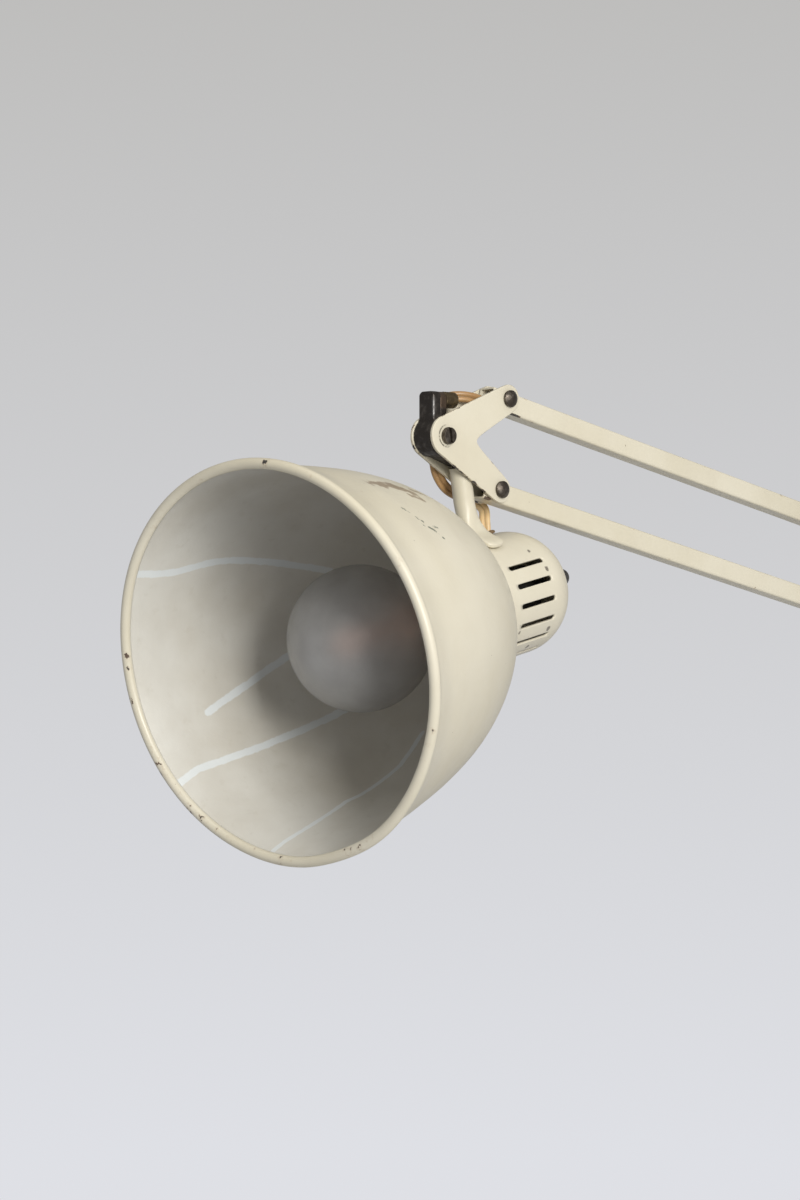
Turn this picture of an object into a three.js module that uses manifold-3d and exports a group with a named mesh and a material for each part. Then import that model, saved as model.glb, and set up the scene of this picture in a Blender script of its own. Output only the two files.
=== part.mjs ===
// Architect desk lamp: a metal shade on a balanced two-part arm, with a heavy round base.
// Millimetres, +Z up. The origin is the centre of the foot pad's underside, on the base's swivel axis.
// The arms move in the XZ plane, and the shade is on the -X side.
import * as THREE from 'three';
import { mergeVertices } from 'three/addons/utils/BufferGeometryUtils.js';
import Module from 'manifold-3d';

const wasm = await Module();
wasm.setup();

// ---- Driving dimensions ----
const CLEAR = 0.3; // gap left between pieces that touch

// Shade, measured along its axis from the rim plane
const RIM_RADIUS = 85;
const BELL_LENGTH = 130;
const BELL_WALL = 1.2;
const BEAD_RADIUS = 2.3;
const CAP_RADIUS = 28.1;
const CAP_WALL = 1.2;
const CAP_STRAIGHT_END = BELL_LENGTH + 38;
const CAP_DOME_DEPTH = 24;
const CAP_SLEEVE = 9; // how far the cap reaches inside the bell
const SLOT_LENGTH = 26;
const SLOT_WIDTH = 2.4;
const SLOT_START = BELL_LENGTH + 8.7;
const SLOT_STEP_DEG = 18.6;
const SLOT_FIRST_DEG = 56.8;
const SLOTS_A_SIDE = 7;

// Lamp and switch on the shade's axis
const GLOBE_RADIUS = 31.4;
const GLOBE_STATION = 59.4;
const GLASS_WALL = 1;
const BULB_NECK_RADIUS = 14.5;
const BULB_CAP_RADIUS = 13.2;
const BULB_CAP_START = BELL_LENGTH - 22;
const BULB_CAP_LENGTH = 23;
const HOLDER_RADIUS = 19.5;
const HOLDER_START = BULB_CAP_START + 4;
const HOLDER_END = HOLDER_START + 40;
const SWITCH_RADIUS = 11;
const SWITCH_NECK_RADIUS = 4.6;
const KNOB_RADIUS = 4.3;
const KNOB_LENGTH = 15.5;

// Stem between knuckle and shade
const STEM_RADIUS = 4.75;
const STEM_WALL = 1;
const STEM_LEAN_DEG = 10.4;
const STEM_OFFSET = 12; // from the head pivot to the stem's axis, level with the pivot
const SHADE_DROP = 74.7; // along the stem's axis, from the pivot's level to the shade's axis
const STEM_STATION = BELL_LENGTH + 13.5; // where the stem's axis crosses the shade's axis
const SHADE_YAW_DEG = 8.8;
const STEM_TOP = 13.2;
const FOOT_WIDTH = 10;
const FOOT_THICKNESS = 2.8;
const FOOT_BACK_DEG = 14;
const FOOT_FRONT_DEG = 33;
const RIVET_DEG = 26; // round the cap from the stem, towards -Y, as the foot is
const RIVET_STATION = STEM_STATION - 1;

// Flex exit: a grommet in the cap just behind the stem, turned towards +Y
const FLEX_EXIT_STATION = STEM_STATION + 17.5;
const FLEX_EXIT_DEG = 8;
const GROMMET_RADIUS = 4;

// Knuckle and clamp screw
const BARREL_RADIUS = 8.8;
const KNUCKLE_HALF_WIDTH = 5.1;
const EAR_HEIGHT = 19.7;
const EAR_HALF_WIDTH = 4.7;
const EAR_ROUND = 2.3;
const EAR_REACH = 6; // from the pivot to the tapped ear's outer face
const EAR_SPLIT = [-1.4, -0.6]; // the saw cut between the ears
const COLLAR_RADIUS = 3.5; // round ear under the screw's head
const COLLAR_END = 3.2;
const CLAMP_HEIGHT = 16.4;
const CLAMP_REACH = 5.1; // the screw ends blind in the tapped ear
const CLAMP_HEAD_RADIUS = 3.7;
const CLAMP_HEAD_LENGTH = 7.2;
const CLAMP_SHANK_RADIUS = 1.6;

// Bars, plates and pins
const BAR_SIZE = 9.5;
const BAR_WALL = 0.9;
const BAR_OVERHANG = 7.5;
const PIN_RISE = 1; // pins sit this far off the bar's centre line, so that the flex passes them
const UPPER_LENGTH = 430;
const LOWER_LENGTH = 385;
const UPPER_RISE_DEG = 12.04;
const LOWER_LEAN_DEG = 22;
const PLATE_GAP = BAR_SIZE + 1.7; // between the two plates of a bracket
const PLATE_THICKNESS = 1.6;
const PIN_RADIUS = 1.5;
const PIN_HEAD_RADIUS = 3.8;
const PIN_HEAD_HEIGHT = 2.9;
const PIVOT_RADIUS = 2.5;
const TOP_PIN = [38.4, 18.2]; // x, z from the head pivot
const BOTTOM_PIN = [33.3, -22.7];
const LOWER_PIN_STEP = [38.5, -8]; // from the front bar's pin to the rear bar's
const ELBOW_STEP = [6, 30]; // from the lower front pin to the upper bottom pin
const UPPER_ANCHOR_STEP = [14, 16]; // from the upper top pin to the spring anchor
const LOWER_ANCHOR_STEP = [-24, 0]; // from the base's front pin to the spring anchor
const HOOK_UPPER = 190; // from the elbow pin to the spring's hook pin, along the bar
const HOOK_LOWER = 185;

// Springs
const SPRING_RADIUS = 5;
const SPRING_WIRE = 1.2;
const SPRING_OFFSET = 14.6; // from the arm's middle plane
const HOOK_REACH = 14; // from an anchor pin to the first coil
const SPRING_PIN_HALF = 17;

// Base
const BASE_RADIUS = 110;
const PAD_RADIUS = 104;
const PAD_THICKNESS = 2.5;
const BASE_EDGE = 13;
const BASE_SLOPE_TOP = 24;
const BOSS_RADIUS = 20;
const BOSS_TOP = 46;
const BUSH_WALL = 2.2;
const BUSH_FLANGE = 2;
const SPINDLE_RADIUS = 6;
const SPINDLE_BORE = 3.6;
const SPINDLE_END = 17;
const WELL_RADIUS = 14;
const WELL_TOP = 21.5;
const BLOCK_BOTTOM = 52;
const BLOCK_TOP = 80;
const BLOCK_HALF = 15;
const CABLE_HOLE_HEIGHT = 59;
const BASE_PIN = [-19, 104]; // x, z of the front bar's lower pin
const POST_BOLT = [0, 72]; // x, z of the bolt that holds the base plates to the post

// Flex, its plug and its coil
const FLEX_TUBE = 1.75; // radius of the plain tube that stands for the flat flex
const CHANNEL_WIDTH = 9;
const CHANNEL_TOP = 10.5;
const FLEX_LEVEL = 6;
const RELIEF_LENGTH = 34;
const COIL_CENTRE = [163, 50];
const COIL_MIDDLE = 28;
const COIL_PITCH = 5;
const COIL_COLUMNS = 3;
const COIL_LAYERS = 3;
const COIL_BOTTOM = 1.4;
const TIE_THICKNESS = 0.8;
const TIE_WIDTH = 6;
const TIE_TURN_DEG = 60;
const PLUG_LENGTH = 36;
const PLUG_RADIUS = 9;
const PLUG_PIN_RADIUS = 2;
const PLUG_PIN_LENGTH = 19;
const PLUG_PIN_SPACING = 9.5;
const PLUG_FLATNESS = 0.72; // half thickness over half width
const PLUG_OFFSET = 21; // from the coil's axis to the plug's, towards +Y
const PLUG_BACK = -3; // from the coil's axis to the plug's back, along X

const rad = THREE.MathUtils.degToRad;
const lamp = new THREE.Group();

// ---- Materials ----
const finish = (color, roughness, metalness) => new THREE.MeshStandardMaterial({ color, roughness, metalness });
const FINISHES = {
  cream_paint: () => finish(0xcdc3a8, 0.45, 0.1),
  dark_casting: () => finish(0x2e2d2b, 0.5, 0.6),
  dark_steel: () => finish(0x4a4642, 0.35, 0.9),
  knurled_brass: () => finish(0x5a4a34, 0.45, 0.8),
  spring_steel: () => finish(0x9a9a96, 0.35, 1),
  bakelite: () => finish(0x1b1a19, 0.35, 0),
  frosted_glass: () => finish(0xf3efe6, 0.4, 0),
  plated_brass: () => finish(0xb9b4a4, 0.3, 1),
  amber_flex: () => finish(0xc99a4e, 0.5, 0),
  felt: () => finish(0x2b3a30, 0.95, 0),
};

// ---- Solids ----
// Turns a closed three.js geometry into a manifold solid that faces out.
function solid(geometry) {
  const bare = geometry.clone();
  bare.deleteAttribute('normal');
  bare.deleteAttribute('uv');
  const merged = mergeVertices(bare, 1e-4);
  const p = merged.attributes.position.array;
  const t = Array.from(merged.index.array);
  const kept = [];
  let volume = 0;
  for (let i = 0; i < t.length; i += 3) {
    const [a, b, c] = [t[i], t[i + 1], t[i + 2]];
    if (a === b || b === c || c === a) continue;
    kept.push(a, b, c);
    const [va, vb, vc] = [a, b, c].map((k) => new THREE.Vector3().fromArray(p, 3 * k));
    volume += va.dot(vb.cross(vc));
  }
  if (volume < 0) {
    for (let i = 0; i < kept.length; i += 3) [kept[i + 1], kept[i + 2]] = [kept[i + 2], kept[i + 1]];
  }
  const mesh = new wasm.Mesh({ numProp: 3, vertProperties: Float32Array.from(p), triVerts: Uint32Array.from(kept) });
  return new wasm.Manifold(mesh);
}

function geometryOf(manifold) {
  const mesh = manifold.getMesh();
  const geometry = new THREE.BufferGeometry();
  geometry.setAttribute('position', new THREE.BufferAttribute(mesh.vertProperties, 3));
  geometry.setIndex(new THREE.BufferAttribute(mesh.triVerts, 1));
  geometry.computeVertexNormals();
  return geometry;
}

const join = (...solids) => solids.reduce((a, b) => a.add(b));
const cut = (body, ...tools) => tools.reduce((a, b) => a.subtract(b), body);

// A box from its low corner to its high corner.
function block(x0, x1, y0, y1, z0, z1) {
  const box = new THREE.BoxGeometry(x1 - x0, y1 - y0, z1 - z0);
  return solid(box.translate((x0 + x1) / 2, (y0 + y1) / 2, (z0 + z1) / 2));
}

// A cylinder along Y through (x, z).
function rodY(x, z, radius, y0, y1, sides = 20) {
  const rod = new THREE.CylinderGeometry(radius, radius, y1 - y0, sides);
  return solid(rod.translate(x, (y0 + y1) / 2, z));
}

// A cylinder along X through (y, z).
function rodX(y, z, radius, x0, x1, sides = 20) {
  const rod = new THREE.CylinderGeometry(radius, radius, x1 - x0, sides).rotateZ(Math.PI / 2);
  return solid(rod.translate((x0 + x1) / 2, y, z));
}

// A cylinder along Z through (x, y).
function rodZ(x, y, radius, z0, z1, sides = 20) {
  const rod = new THREE.CylinderGeometry(radius, radius, z1 - z0, sides).rotateX(Math.PI / 2);
  return solid(rod.translate(x, y, (z0 + z1) / 2));
}

// A profile of [radius, height] points turned about Z. It starts and ends on the axis, or closes on itself.
function turned(profile, sides = 32) {
  const onAxis = profile[0][0] === 0 && profile.at(-1)[0] === 0;
  const points = onAxis ? profile : [...profile, profile[0]];
  const lathe = new THREE.LatheGeometry(points.map(([r, z]) => new THREE.Vector2(r, z)), sides);
  return solid(lathe.rotateX(Math.PI / 2));
}

// The same, about X, as everything on the shade's axis is.
function turnedX(profile, sides = 32) {
  return turned(profile, sides).rotate([0, 90, 0]);
}

// Corner points of the tightest outline around a set of [x, z, radius] discs.
function outlineAround(discs, sides = 14) {
  const points = discs.flatMap(([x, z, r]) =>
    Array.from({ length: sides }, (_, i) => {
      const a = (2 * Math.PI * (i + 0.5)) / sides;
      return [x + r * Math.cos(a), z + r * Math.sin(a)];
    }),
  );
  points.sort((a, b) => a[0] - b[0] || a[1] - b[1]);
  const turn = (o, a, b) => (a[0] - o[0]) * (b[1] - o[1]) - (a[1] - o[1]) * (b[0] - o[0]);
  const half = (list) => {
    const chain = [];
    for (const p of list) {
      while (chain.length > 1 && turn(chain.at(-2), chain.at(-1), p) <= 1e-9) chain.pop();
      chain.push(p);
    }
    chain.pop();
    return chain;
  };
  return [...half(points), ...half([...points].reverse())];
}

// A flat plate in the XZ plane around those discs, from y0 to y1.
function plate(discs, y0, y1) {
  const shape = new THREE.Shape(outlineAround(discs).map(([x, z]) => new THREE.Vector2(x, z)));
  const slab = new THREE.ExtrudeGeometry(shape, { depth: y1 - y0, bevelEnabled: false, curveSegments: 12 });
  return solid(slab.rotateX(Math.PI / 2).translate(0, y1, 0));
}

// Part of a smooth curve, from one share of its length to another.
class Stretch extends THREE.Curve {
  constructor(whole, from, to) {
    super();
    Object.assign(this, { whole, from, to });
  }

  getPoint(t, target = new THREE.Vector3()) {
    return target.copy(this.whole.getPointAt(this.from + (this.to - this.from) * t));
  }
}

const smoothCurve = (points) => new THREE.CatmullRomCurve3(points.map((p) => new THREE.Vector3(...p)), false, 'centripetal');

// A round tube along a curve.
function tubeOn(curve, steps) {
  const section = new THREE.Shape();
  for (let i = 0; i < 8; i += 1) {
    const a = (Math.PI * (i + 0.5)) / 4;
    const corner = [FLEX_TUBE * Math.cos(a), FLEX_TUBE * Math.sin(a)];
    if (i) section.lineTo(...corner);
    else section.moveTo(...corner);
  }
  section.closePath();
  return solid(new THREE.ExtrudeGeometry(section, { steps, extrudePath: curve, bevelEnabled: false }));
}

// Tubes end to end along one curve, cut at the given control points, with a gap at each cut.
function tubesAlong(points, names, cutsAt = []) {
  const fine = 40;
  const curve = smoothCurve(points);
  curve.arcLengthDivisions = fine * (points.length - 1);
  const reached = curve.getLengths();
  const length = reached.at(-1);
  const ends = [0, ...cutsAt.map((i) => reached[i * fine]), length];
  names.forEach((name, i) => {
    const from = ends[i] + (i ? CLEAR / 2 : 0);
    const to = ends[i + 1] - (i < names.length - 1 ? CLEAR / 2 : 0);
    const steps = Math.max(6, Math.round((to - from) / (FLEX_TUBE * 5)));
    piece(lamp, name, 'amber_flex', tubeOn(new Stretch(curve, from / length, to / length), steps));
  });
}

function piece(group, name, finishName, manifold) {
  const mesh = new THREE.Mesh(geometryOf(manifold), FINISHES[finishName]());
  mesh.name = name;
  group.add(mesh);
  return mesh;
}

// ---- Where the pins are ----
const add = (a, b) => [a[0] + b[0], a[1] + b[1]];
const along = (from, direction, length) => [from[0] + direction[0] * length, from[1] + direction[1] * length];
const LOWER_WAY = [Math.sin(rad(LOWER_LEAN_DEG)), Math.cos(rad(LOWER_LEAN_DEG))];
const UPPER_WAY = [-Math.cos(rad(UPPER_RISE_DEG)), Math.sin(rad(UPPER_RISE_DEG))];
const pins = {};
pins.baseFront = BASE_PIN;
pins.baseRear = add(BASE_PIN, LOWER_PIN_STEP);
pins.elbowFront = along(pins.baseFront, LOWER_WAY, LOWER_LENGTH);
pins.elbowRear = along(pins.baseRear, LOWER_WAY, LOWER_LENGTH);
pins.elbowBottom = add(pins.elbowFront, ELBOW_STEP);
pins.elbowTop = add(pins.elbowBottom, [TOP_PIN[0] - BOTTOM_PIN[0], TOP_PIN[1] - BOTTOM_PIN[1]]);
pins.headTop = along(pins.elbowTop, UPPER_WAY, UPPER_LENGTH);
pins.headBottom = along(pins.elbowBottom, UPPER_WAY, UPPER_LENGTH);
pins.head = [pins.headTop[0] - TOP_PIN[0], pins.headTop[1] - TOP_PIN[1]];
pins.baseAnchor = add(pins.baseFront, LOWER_ANCHOR_STEP);
pins.elbowAnchor = add(pins.elbowTop, UPPER_ANCHOR_STEP);
pins.lowerHook = along(pins.baseFront, LOWER_WAY, HOOK_LOWER);
pins.upperHook = along(pins.elbowTop, UPPER_WAY, HOOK_UPPER);

const PLATE_INNER = PLATE_GAP / 2;
const PLATE_OUTER = PLATE_INNER + PLATE_THICKNESS;
const PIN_HOLE = PIN_RADIUS + CLEAR;

// ---- Brackets ----
// Two like plates, near (-Y) and far (+Y), with the same holes.
function bracketPlates(prefix, discGroups, holes) {
  for (const [side, y0, y1] of [['near', -PLATE_OUTER, -PLATE_INNER], ['far', PLATE_INNER, PLATE_OUTER]]) {
    const body = join(...discGroups.map((discs) => plate(discs, y0, y1)));
    const drills = holes.map(([[x, z], r]) => rodY(x, z, r, y0 - 1, y1 + 1, 10));
    piece(lamp, `${prefix}_plate_${side}`, 'cream_paint', cut(body, ...drills));
  }
}

// A pin through both plates, with a domed head outside each.
function domedPin([x, z], radius = PIN_RADIUS) {
  const start = PLATE_OUTER + CLEAR;
  const cap = [[radius, start], [PIN_HEAD_RADIUS, start], [PIN_HEAD_RADIUS, start + PIN_HEAD_HEIGHT * 0.35]];
  const crown = [[PIN_HEAD_RADIUS * 0.72, start + PIN_HEAD_HEIGHT * 0.8], [0, start + PIN_HEAD_HEIGHT]];
  const upper = [...cap, ...crown];
  const lower = upper.map(([r, y]) => [r, -y]).reverse();
  return turned([...lower, ...upper], 10).rotate([-90, 0, 0]).translate([x, 0, z]);
}

// A straight pin that holds a spring's hook on each side.
function springPin([x, z]) {
  const half = SPRING_PIN_HALF;
  const groove = SPRING_OFFSET;
  const end = [[PIN_RADIUS, groove - 1], [PIN_RADIUS * 0.7, groove - 0.6], [PIN_RADIUS * 0.7, groove + 0.6]];
  const tip = [[PIN_RADIUS, groove + 1], [PIN_RADIUS, half], [0, half]];
  const upper = [...end, ...tip];
  const lower = upper.map(([r, y]) => [r, -y]).reverse();
  return turned([...lower, ...upper], 8).rotate([-90, 0, 0]).translate([x, 0, z]);
}

// ---- Bars ----
// A square tube from pin A to pin B. In its own frame X runs from A to B and the pins are at z = 0.
function bar(name, from, to, hooks = []) {
  const length = Math.hypot(to[0] - from[0], to[1] - from[1]);
  const half = BAR_SIZE / 2;
  const inner = half - BAR_WALL;
  const [x0, x1] = [-BAR_OVERHANG, length + BAR_OVERHANG];
  const shell = block(x0, x1, -half, half, -half - PIN_RISE, half - PIN_RISE);
  const inside = block(x0 - 1, x1 + 1, -inner, inner, -inner - PIN_RISE, inner - PIN_RISE);
  const drills = [0, length, ...hooks].map((x) => rodY(x, 0, PIN_HOLE, -half - 1, half + 1, 8));
  // a short slot in the underside at each end, where the flex can be eased in
  const slots = [x0, x1].map((x) => block(x - 10, x + 10, -1.2, 1.2, -half - PIN_RISE - 1, -inner - PIN_RISE + 0.2));
  const mesh = piece(lamp, name, 'cream_paint', cut(shell, inside, ...drills, ...slots));
  place(mesh, from, to);
  return mesh;
}

// Turns and moves a mesh so that its X runs from one point of the XZ plane to another.
function place(mesh, from, to) {
  mesh.rotation.y = -Math.atan2(to[1] - from[1], to[0] - from[0]);
  mesh.position.set(from[0], 0, from[1]);
}

// ---- Springs ----
// A hollow cylinder of the coils' outer size, between an anchor pin and a hook pin.
function spring(name, anchor, hook, y) {
  const length = Math.hypot(hook[0] - anchor[0], hook[1] - anchor[1]);
  const [a, b] = [HOOK_REACH, length - HOOK_REACH];
  const bore = SPRING_RADIUS - SPRING_WIRE;
  const sleeve = turnedX([[bore, a], [SPRING_RADIUS, a], [SPRING_RADIUS, b], [bore, b]], 14);
  place(piece(lamp, name, 'spring_steel', sleeve.translate([0, y, 0])), anchor, hook);
}

// ---- Base ----
function base() {
  const pad = PAD_THICKNESS;
  piece(lamp, 'felt_pad', 'felt', turned([[0, 0], [PAD_RADIUS, 0], [PAD_RADIUS, pad], [0, pad]], 36));

  const under = pad + CLEAR;
  const bushOuter = SPINDLE_RADIUS + CLEAR + BUSH_WALL;
  const bore = bushOuter + CLEAR;
  const casting = turned([
    [WELL_RADIUS, under], [BASE_RADIUS - 2, under], [BASE_RADIUS, under + 2], [BASE_RADIUS, BASE_EDGE - 2],
    [BASE_RADIUS - 3, BASE_EDGE + 1], [BOSS_RADIUS + 12, BASE_SLOPE_TOP], [BOSS_RADIUS + 3, BASE_SLOPE_TOP + 4],
    [BOSS_RADIUS, BASE_SLOPE_TOP + 12], [BOSS_RADIUS - 1, BOSS_TOP], [bore, BOSS_TOP], [bore, WELL_TOP],
    [WELL_RADIUS, WELL_TOP],
  ], 40);
  const channel = block(0, BASE_RADIUS + 1, -CHANNEL_WIDTH / 2, CHANNEL_WIDTH / 2, under - 1, CHANNEL_TOP);
  const gland = rodX(0, FLEX_LEVEL, CHANNEL_WIDTH / 2 + CLEAR, BASE_RADIUS - 6, BASE_RADIUS + 1, 16);
  piece(lamp, 'base_casting', 'cream_paint', cut(casting, channel, gland));

  const inner = SPINDLE_RADIUS + CLEAR;
  const flange = BOSS_TOP + CLEAR;
  piece(lamp, 'swivel_bush', 'plated_brass', turned([
    [inner, WELL_TOP + 1], [bushOuter, WELL_TOP + 1], [bushOuter, flange], [BOSS_RADIUS - 3, flange],
    [BOSS_RADIUS - 3, flange + BUSH_FLANGE], [inner, flange + BUSH_FLANGE],
  ], 24));

  // the post turns in the bush: a hollow spindle, a collar and the block that carries the plates
  const collar = flange + BUSH_FLANGE + CLEAR;
  const spindle = turned([
    [SPINDLE_BORE, SPINDLE_END], [SPINDLE_RADIUS, SPINDLE_END], [SPINDLE_RADIUS, collar], [BOSS_RADIUS - 5, collar],
    [BOSS_RADIUS - 5, BLOCK_BOTTOM - 1], [BOSS_RADIUS - 7, BLOCK_BOTTOM + 1], [SPINDLE_BORE, BLOCK_BOTTOM + 1],
  ], 24);
  const halfWidth = PLATE_INNER - CLEAR;
  const post = join(spindle, block(-BLOCK_HALF, BLOCK_HALF, -halfWidth, halfWidth, BLOCK_BOTTOM, BLOCK_TOP));
  const sideHole = rodX(0, CABLE_HOLE_HEIGHT, SPINDLE_BORE, -BLOCK_HALF - 1, SPINDLE_BORE, 14);
  const shaftHole = rodZ(0, 0, SPINDLE_BORE, SPINDLE_END - 1, CABLE_HOLE_HEIGHT + SPINDLE_BORE, 14);
  const boltHole = rodY(...POST_BOLT, PIN_HOLE, -halfWidth - 1, halfWidth + 1, 12);
  piece(lamp, 'swivel_post', 'dark_casting', cut(post, sideHole, shaftHole, boltHole));

  const ringLow = SPINDLE_END + 1.5;
  const ring = turned([
    [inner, ringLow], [SPINDLE_RADIUS + 4, ringLow], [SPINDLE_RADIUS + 4, ringLow + 1.5], [inner, ringLow + 1.5],
  ], 20);
  piece(lamp, 'retaining_ring', 'dark_steel', ring);
}

function baseBracket() {
  const discs = [[...pins.baseAnchor, 6], [...pins.baseFront, 8], [...pins.baseRear, 8], [11, 60, 5], [-9, 64, 5]];
  const holes = [
    [pins.baseAnchor, PIN_HOLE], [pins.baseFront, PIN_HOLE], [pins.baseRear, PIN_HOLE],
    [POST_BOLT, PIN_HOLE],
  ];
  bracketPlates('base', [discs], holes);
  piece(lamp, 'base_pin_front', 'dark_steel', domedPin(pins.baseFront));
  piece(lamp, 'base_pin_rear', 'dark_steel', domedPin(pins.baseRear));
  piece(lamp, 'base_spring_pin', 'dark_steel', springPin(pins.baseAnchor));
  piece(lamp, 'post_bolt', 'dark_steel', domedPin(POST_BOLT));
}

// ---- Arms and elbow ----
function arms() {
  bar('lower_front_bar', pins.baseFront, pins.elbowFront, [HOOK_LOWER]);
  bar('lower_rear_bar', pins.baseRear, pins.elbowRear);
  piece(lamp, 'lower_hook_pin', 'dark_steel', springPin(pins.lowerHook));
  bar('upper_top_bar', pins.headTop, pins.elbowTop, [UPPER_LENGTH - HOOK_UPPER]);
  bar('upper_bottom_bar', pins.headBottom, pins.elbowBottom);
  piece(lamp, 'upper_hook_pin', 'dark_steel', springPin(pins.upperHook));
  for (const [side, y] of [['near', -SPRING_OFFSET], ['far', SPRING_OFFSET]]) {
    spring(`lower_spring_${side}`, pins.baseAnchor, pins.lowerHook, y);
    spring(`upper_spring_${side}`, pins.elbowAnchor, pins.upperHook, y);
  }
}

function elbow() {
  const pinNames = {
    elbowFront: 'elbow_pin_lower_front',
    elbowRear: 'elbow_pin_lower_rear',
    elbowBottom: 'elbow_pin_upper_bottom',
    elbowTop: 'elbow_pin_upper_top',
  };
  const corners = ['elbowFront', 'elbowRear', 'elbowBottom', 'elbowTop'];
  const discs = [...corners.map((name) => [...pins[name], 7.5]), [...pins.elbowAnchor, 5.5]];
  bracketPlates('elbow', [discs], [...corners, 'elbowAnchor'].map((name) => [pins[name], PIN_HOLE]));
  corners.forEach((name) => piece(lamp, pinNames[name], 'dark_steel', domedPin(pins[name])));
  piece(lamp, 'elbow_spring_pin', 'dark_steel', springPin(pins.elbowAnchor));
}

// ---- Head bracket and knuckle ----
function headBracket() {
  const root = [...pins.head, 9];
  const limbs = [[root, [...pins.headTop, 6.4]], [root, [...pins.headBottom, 6]]];
  bracketPlates('head', limbs, [
    [pins.head, PIVOT_RADIUS + CLEAR], [pins.headTop, PIN_HOLE], [pins.headBottom, PIN_HOLE],
  ]);
  piece(lamp, 'head_pin_top', 'dark_steel', domedPin(pins.headTop));
  piece(lamp, 'head_pin_bottom', 'dark_steel', domedPin(pins.headBottom));

  const [x, z] = pins.head;
  const start = PLATE_OUTER + CLEAR;
  const end = start + 4.6;
  const screw = turned([
    [0, -start - PIN_HEAD_HEIGHT], [PIN_HEAD_RADIUS * 0.72, -start - PIN_HEAD_HEIGHT * 0.8],
    [PIN_HEAD_RADIUS, -start - PIN_HEAD_HEIGHT * 0.35], [PIN_HEAD_RADIUS, -start], [PIVOT_RADIUS, -start],
    [PIVOT_RADIUS, end], [0, end],
  ], 20).rotate([-90, 0, 0]);
  const slot = block(-0.5, 0.5, -start - 3, -start - 1.1, -5, 5);
  piece(lamp, 'pivot_screw', 'dark_steel', cut(screw, slot).translate([x, 0, z]));
  const nut = cut(rodY(0, 0, 4.8, start, start + 3.4, 6), rodY(0, 0, PIVOT_RADIUS + CLEAR, start - 1, start + 5, 16));
  piece(lamp, 'pivot_nut', 'dark_steel', nut.translate([x, 0, z]));
}

// The stem's axis in the XZ plane, from the head pivot: a point at a distance below the pivot's level.
const LEAN = rad(STEM_LEAN_DEG);
const STEM_DOWN = [Math.sin(LEAN), -Math.cos(LEAN)];
const onStem = (distance) => [STEM_OFFSET + STEM_DOWN[0] * distance, STEM_DOWN[1] * distance];

function knuckle() {
  const half = KNUCKLE_HALF_WIDTH;
  const socket = onStem(STEM_TOP - 5.2);
  const arm = plate([[0, 0, BARREL_RADIUS - 0.4], [...socket, 5]], -half, half);
  const ears = join(
    roundedEar(-EAR_REACH, EAR_SPLIT[0]), block(EAR_SPLIT[1], COLLAR_END, -COLLAR_RADIUS, COLLAR_RADIUS, 3, CLAMP_HEIGHT),
    block(-EAR_REACH, COLLAR_END, -EAR_HALF_WIDTH, EAR_HALF_WIDTH, 3, BARREL_RADIUS),
    rodX(0, CLAMP_HEIGHT, COLLAR_RADIUS, EAR_SPLIT[1], COLLAR_END, 24),
  );
  const spigotRadius = STEM_RADIUS - STEM_WALL - CLEAR;
  const spigot = rodZ(0, 0, spigotRadius, -STEM_TOP - 16, -STEM_TOP + 6, 18);
  const below = block(-20, 20, -20, 20, -STEM_TOP - 20, -STEM_TOP + CLEAR);
  const tilted = (body) => body.rotate([0, -STEM_LEAN_DEG, 0]).translate([STEM_OFFSET, 0, 0]);
  const body = join(cut(join(rodY(0, 0, BARREL_RADIUS, -half, half, 28), arm, ears), tilted(below)), tilted(spigot));
  const bore = rodY(0, 0, PIVOT_RADIUS + CLEAR, -half - 1, half + 1, 18);
  const split = block(...EAR_SPLIT, -half - 1, half + 1, 0, EAR_HEIGHT + 1);
  const screwHole = rodX(0, CLAMP_HEIGHT, CLAMP_SHANK_RADIUS + CLEAR, -CLAMP_REACH - CLEAR, COLLAR_END + 1, 12);
  const mesh = piece(lamp, 'knuckle', 'dark_casting', cut(body, bore, split, screwHole));
  mesh.position.set(pins.head[0], 0, pins.head[1]);

  const start = COLLAR_END + CLEAR;
  const end = start + CLAMP_HEAD_LENGTH;
  const screw = turnedX([
    [0, -CLAMP_REACH], [CLAMP_SHANK_RADIUS, -CLAMP_REACH], [CLAMP_SHANK_RADIUS, start], [CLAMP_HEAD_RADIUS - 0.3, start],
    [CLAMP_HEAD_RADIUS, start + 0.6], [CLAMP_HEAD_RADIUS, end - 0.8], [CLAMP_HEAD_RADIUS - 0.8, end], [0, end],
  ], 18);
  piece(lamp, 'clamp_screw', 'knurled_brass', screw).position.set(pins.head[0], 0, pins.head[1] + CLAMP_HEIGHT);
}

// The tapped ear, with its two top corners rounded.
function roundedEar(x0, x1) {
  const corner = EAR_HALF_WIDTH - EAR_ROUND;
  const shoulder = EAR_HEIGHT - EAR_ROUND;
  return join(
    block(x0, x1, -EAR_HALF_WIDTH, EAR_HALF_WIDTH, 3, shoulder), block(x0, x1, -corner, corner, 3, EAR_HEIGHT),
    rodX(-corner, shoulder, EAR_ROUND, x0, x1, 20), rodX(corner, shoulder, EAR_ROUND, x0, x1, 20),
  );
}

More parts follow.
